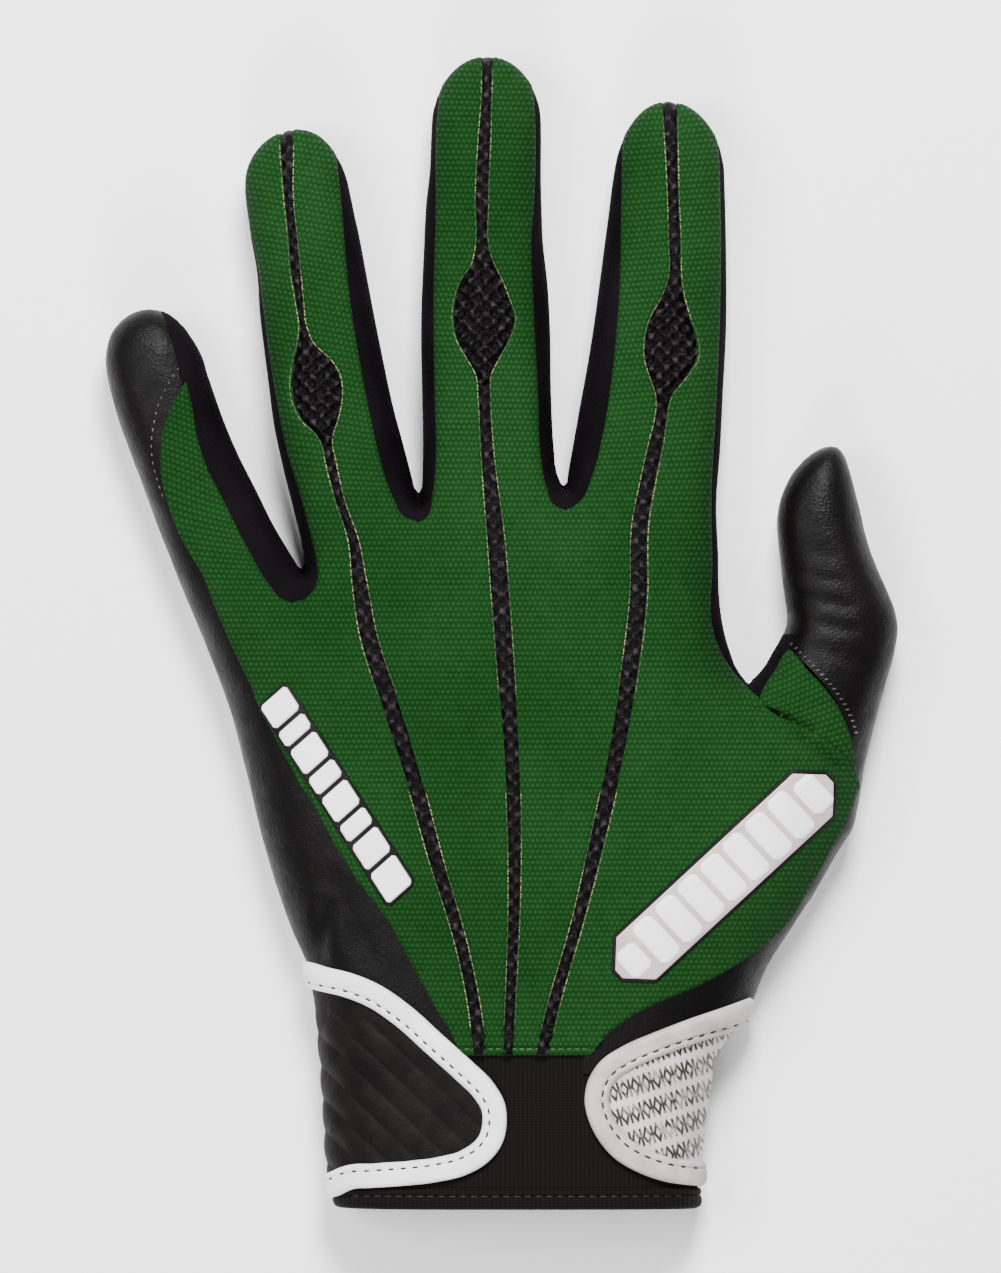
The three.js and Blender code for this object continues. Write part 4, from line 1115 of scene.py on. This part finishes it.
hem_left = curve(knit_left["little"], hem_rows)
hem_right = curve(knit_right["index"], hem_rows)
hem_lane = lane(hem_rows, hem_left, hem_right, 120, relief=band_relief)
add_piece("knit_hem_band", [hem_lane], GREEN_KNIT, knit_wall, "back_knit", "back_hem")

# The palm side: rows that its lanes share, and the seam of the thumb's front.
PALM_FOOT = 1186
seam_rows = (crotches["index"], 781)
seam_places = (748, 863)
seam_gap = 1.5                   # pixels between its two sides, at its top
even_rows = np.arange(min(crotches.values()), PALM_FOOT + 1, 6.0)
shared_rows = np.unique(np.concatenate([[*crotches.values(), seam_rows[1]], even_rows]))


def palm_lane(digit, foot, left, right):
    """A lane of the palm: rows from under the fingertip to the first crotch, then the shared rows."""
    place = digits.index(digit)
    first = min(crotches[near] for near in digits[max(place - 1, 0):place + 1] if near in crotches)
    top = tips[digit]["tip"][0] + UNDER
    shared = shared_rows[(shared_rows > first) & (shared_rows <= foot)]
    rows = np.concatenate([rows_down(top, first, 5, 14), shared])
    return lane(rows, left(rows), right(rows), 26, palm_lift, side=-1)


def palm_edge(digit, side, crotch=math.inf, line=None):
    """An edge as a function of the row: inside the outline above the crotch, then a shared line."""
    def place(rows):
        """Across place of the edge in each row."""
        inset = side_edge(digit, side, rows, -UNDER)
        return inset if line is None else np.where(rows < crotch, inset, line(rows))
    return place


def seam_line(gap):
    """The seam of the thumb's front as a function of the row."""
    return lambda rows: np.interp(rows, seam_rows, (seam_places[0] + gap, seam_places[1]))


def heel_edge(rows):
    """The palm's thumb side below the index finger: the seam of the thumb's front, then the heel."""
    return np.where(rows < seam_rows[1], seam_line(0)(rows), palm_edge("thumb", 1)(rows))


palm_lines = {digit: edge_line(webs[digit]) for digit in digits[:3]}
palm_lines["index"] = heel_edge
palm_lanes = []
for place, digit in enumerate(digits[:4]):
    before = digits[place - 1]
    left = palm_edge(digit, -1, crotches[before], palm_lines[before]) if place else palm_edge(digit, -1)
    right = palm_edge(digit, 1, crotches[digit], palm_lines[digit])
    palm_lanes.append(palm_lane(digit, PALM_FOOT, left, right))
add_piece("palm_leather_piece", palm_lanes, LEATHER, leather_wall, "dark_leather", "palm_leather")
front_inner = palm_edge("thumb", -1, crotches["index"], seam_line(seam_gap))
thumb_front = palm_lane("thumb", seam_rows[1], front_inner, palm_edge("thumb", 1))
add_piece("thumb_front_piece", [thumb_front], LEATHER, leather_wall, "dark_leather", "thumb_front")


def plate_grid(line, ends, half_width, corner, slant, base, height, bevel, counts):
    """A raised plate on the back, along a straight line of the plan. ends are its two places on the line
    and half_width its half width, in metres; slant leans its ends. Its lift is base + height * sqrt(1 -
    (1 - d / bevel)^2), where d is the distance from its border, up to bevel. corner cuts its corners."""
    start, end = np.array(line, float)
    length = np.hypot(*(end - start))
    run = (end - start) / length
    from_place, to_place = ends
    along = (from_place + (to_place - from_place) * columns(counts[0]))[:, None]
    near_end = np.minimum(along - from_place, to_place - along)
    half = half_width - np.maximum(corner - near_end, 0)
    side = (2 * columns(counts[1]) - 1)[None, :] * half
    border = np.minimum(half - np.abs(side), near_end)
    lifts = base + height * np.sqrt(1 - (1 - np.clip(border / bevel, 0, 1)) ** 2)
    leaned = along + slant * side
    rows = start[0] + (run[0] * leaned + run[1] * side) / PIXEL
    across = start[1] + (run[1] * leaned - run[0] * side) / PIXEL
    return skin_grid(rows, across, lifts)


plate_wall = 0.2 * MM
base_lift, base_height, base_bevel = 0.28 * MM, 0.34 * MM, 0.3 * MM

side_line = [(693, 273), (892, 401)]
side_half = 3.55 * MM
side_slant = 0.16
side_base = plate_grid(side_line, (0, 49.0 * MM), side_half + 0.35 * MM, 1.0 * MM, side_slant, base_lift,
                       base_height, base_bevel, (90, 16))
add_piece("side_patch_base", [side_base], BLACK_RUBBER, plate_wall, "patch_rubber")
# Slanted blocks of the side patch: where each starts and ends along it, in millimetres.
side_blocks = [
    (0.6, 6.2), (7.1, 10.6), (11.5, 17.3), (18.2, 22.2), (23.1, 28.9), (29.8, 33.6), (34.5, 40.4),
    (41.3, 48.4)]
add_piece("side_patch_blocks", [
    plate_grid(side_line, (low * MM, high * MM), side_half - 0.25 * MM, 0.6 * MM, side_slant, 0.5 * MM,
               0.75 * MM, 0.5 * MM, (18, 24)) for low, high in side_blocks
], WHITE_RUBBER, plate_wall, "patch_rubber", "side_patch")

thumb_line = [(975, 616), (776, 830)]
thumb_length = math.dist(*thumb_line) * PIXEL
thumb_half = 6.5 * MM
thumb_rim = 0.6 * MM
thumb_base = plate_grid(thumb_line, (0, thumb_length), thumb_half, 5 * MM, 0.0, base_lift, base_height,
                        base_bevel, (90, 24))
add_piece("thumb_patch_base", [thumb_base], BLACK_RUBBER, plate_wall, "patch_rubber")
# The field between the bars is darker pinkish grey: painted shade in the grooves.
thumb_field = plate_grid(thumb_line, (thumb_rim, thumb_length - thumb_rim), thumb_half - thumb_rim,
                         4.8 * MM, 0.0, 0.5 * MM, 0.3 * MM, 0.7 * MM, (160, 60))
add_piece("thumb_patch_field", [thumb_field], GROOVE_SHADE_RUBBER, plate_wall, "patch_rubber", "thumb_patch")
# Raised bars across the thumb patch, in millimetres along it. The ends of the row are narrower.
BAR_COUNT, bar_first, bar_pitch, bar_end, bar_half = 9, 2.2, 6.2, 7.4, 5.2
row_start, row_end = -1.2, 61.0
bar_grids = []
for step in range(BAR_COUNT):
    low, high = bar_first + bar_pitch * step, bar_end + bar_pitch * step
    half = min(bar_half, low - row_start, row_end - high) * MM
    bar_grids.append(plate_grid(thumb_line, (low * MM, high * MM), half, 1.0 * MM, 0.0, 0.62 * MM, 0.7 * MM,
                                1.3 * MM, (16, 30)))
add_piece("thumb_patch_bars", bar_grids, WHITE_RUBBER, plate_wall, "patch_rubber")


def stitches(name, path, material, slot, sizes, lean=0.0, side=1):
    """Sewn stitches along a path of the plan: each a short rod, rounded off as width * sqrt(1 - a^4) from
    its middle, a = 0, to its ends, a = 1 and -1. sizes are their pitch, length, width and lift, in
    millimetres. lean turns each from the path, in radians."""
    pitch, length, width, lift = (size * MM for size in sizes)
    points = np.array(path, float)
    along = np.concatenate([[0], np.cumsum(np.hypot(*np.diff(points, axis=0).T))]) * PIXEL
    keys = np.column_stack([along, points])
    at = np.arange(pitch / 2, along[-1] - pitch / 4, pitch)
    near, far = at - length / 4, at + length / 4
    middle, normal = skin(curve(keys, at, 1), curve(keys, at, 2), lift, side)
    before, _ = skin(curve(keys, near, 1), curve(keys, near, 2), lift, side)
    after, _ = skin(curve(keys, far, 1), curve(keys, far, 2), lift, side)
    run = after - before
    run /= np.linalg.norm(run, axis=1, keepdims=True)
    beside = np.cross(normal, run)
    run, beside = (run * math.cos(lean) + beside * math.sin(lean),
                   beside * math.cos(lean) - run * math.sin(lean))
    a = np.array([-1, -0.8, 0, 0.8, 1])
    turn = np.arange(6) * math.pi / 3
    thick = width * np.sqrt(1 - a ** 4)
    rods = (middle[:, None, None] + run[:, None, None] * (a * length / 2)[None, :, None, None]
            + beside[:, None, None] * (thick[:, None] * np.cos(turn))[None, :, :, None]
            + normal[:, None, None] * (thick[:, None] * np.sin(turn) * 0.7)[None, :, :, None])
    grids = [{"points": rod, "wrap": True, "flip": False} for rod in rods]
    add_piece(name, grids, material, 0.0, slot)


for finger, strip in strips.items():
    rows = np.arange(tips[finger]["tip"][0] + 5, STITCH_FOOT, 6.0)
    for label, shift, column in (("left", -1.0, 1), ("right", 1.0, 2)):
        path = list(zip(rows, curve(strip["rows"], rows, column) + shift))
        stitches(f"{finger}_strip_{label}_stitches", path, TAN_THREAD, "back_knit", (1.7, 1.5, 0.12, -0.08))
cap_seam = [
    (366, 181), (383, 170), (403, 160), (427, 154), (440, 152), (453, 152), (467, 154), (485, 159),
    (505, 166)]
thumb_stitch_line = [
    (642, 789), (650, 797), (665, 812), (680, 826), (697, 839), (715, 849), (735, 856)]
hem_line = [(1047.5, 463), (1047.5, 500), (1047.5, 540), (1047.5, 590)]
cuff_line = [(1194.6, 350), (1194.6, 430), (1194.6, 520), (1194.6, 610), (1194.6, 690)]
thumb_front_line = [(690, 760), (781, 866)]
palm_seam = [
    (1176, 348), (1090, 336), (1000, 328), (900, 296), (820, 272), (740, 252), (660, 226), (600, 202)]
stitches("cap_seam_stitches", cap_seam, PALE_THREAD, "dark_leather", (1.7, 0.7, 0.17, -0.1))
stitches("thumb_seam_stitches", thumb_stitch_line, PALE_THREAD, "dark_leather", (1.25, 0.9, 0.2, 0.15), 1.1)
stitches("hem_stitches", hem_line, GREEN_THREAD, "back_knit", (1.6, 1.2, 0.17, 0.25))


def channel_line(line, inner):
    """The middle of a binding's sewn channel, without its ends."""
    shift = inner * channel_place * PIPE_HALF
    down, across, normal_down, normal_across = path_samples(line, 6.0)
    return list(zip(down + normal_down * shift, across + normal_across * shift))[6:-6]


stitches("strap_binding_stitches", channel_line(strap_line, 1), DARK_THREAD, "piping",
         (2.4, 1.2, 0.24, 1.03))
stitches("tab_binding_stitches", channel_line(tab_line, -1), DARK_THREAD, "piping",
         (2.4, 1.4, 0.26, 1.03))
stitches("cuff_hem_stitches", cuff_line, DARK_THREAD, "cuff_elastic", (2.2, 1.5, 0.16, -0.3))
for name, path in (("thumb_front_stitches", thumb_front_line), ("palm_seam_stitches", palm_seam)):
    stitches(name, path, DARK_THREAD, "dark_leather", (2.4, 1.6, 0.16, 0.0), side=-1)

camera_height = 4.0
camera_sensor = 36.0
camera_data = bpy.data.cameras.new("camera")
camera = bpy.data.objects.new("camera", camera_data)
bpy.context.scene.collection.objects.link(camera)
middle_x, middle_y = plan(PHOTO_HEIGHT / 2, PHOTO_WIDTH / 2)
camera.location = (middle_x, middle_y, seam_height + camera_height)
camera_data.sensor_width = camera_sensor
camera_data.lens = camera_sensor * camera_height / (PHOTO_HEIGHT * PIXEL)
bpy.context.scene.camera = camera


def add_lamp(name, place, aim, size, power):
    """A square soft lamp that looks at a point."""
    data = bpy.data.lights.new(name, "AREA")
    data.shape, data.size, data.energy = "SQUARE", size, power
    lamp = bpy.data.objects.new(name, data)
    lamp.location = place
    way = Vector(aim) - Vector(place)
    lamp.rotation_euler = way.to_track_quat("-Z", "Y").to_euler()
    bpy.context.scene.collection.objects.link(lamp)


glove_middle = (0, 0, seam_height)
add_lamp("key_lamp", (0.1, 0.7, 0.9), glove_middle, 0.35, 37.0)
add_lamp("fill_lamp", (-0.6, 0.1, 0.95), glove_middle, 0.5, 11.0)
add_lamp("foot_lamp", (-0.1, -0.85, 0.6), glove_middle, 0.5, 12.0)
room_light = 0.1
world = bpy.data.worlds.new("studio")
bpy.context.scene.world = world
world.use_nodes = True
room = world.node_tree.nodes["Background"]
room.inputs[0].default_value = (1, 1, 1, 1)
room.inputs[1].default_value = room_light

floor_mesh = bpy.data.meshes.new("floor")
floor_reach, floor_level = 3.0, -0.2 * MM
floor_corners = [(x * floor_reach, y * floor_reach, floor_level)
                 for x, y in ((-1, -1), (1, -1), (1, 1), (-1, 1))]
floor_mesh.from_pydata(floor_corners, [], [(0, 1, 2, 3)])
floor_mesh.materials.append(paper_floor())
floor = bpy.data.objects.new("floor", floor_mesh)
bpy.context.scene.collection.objects.link(floor)
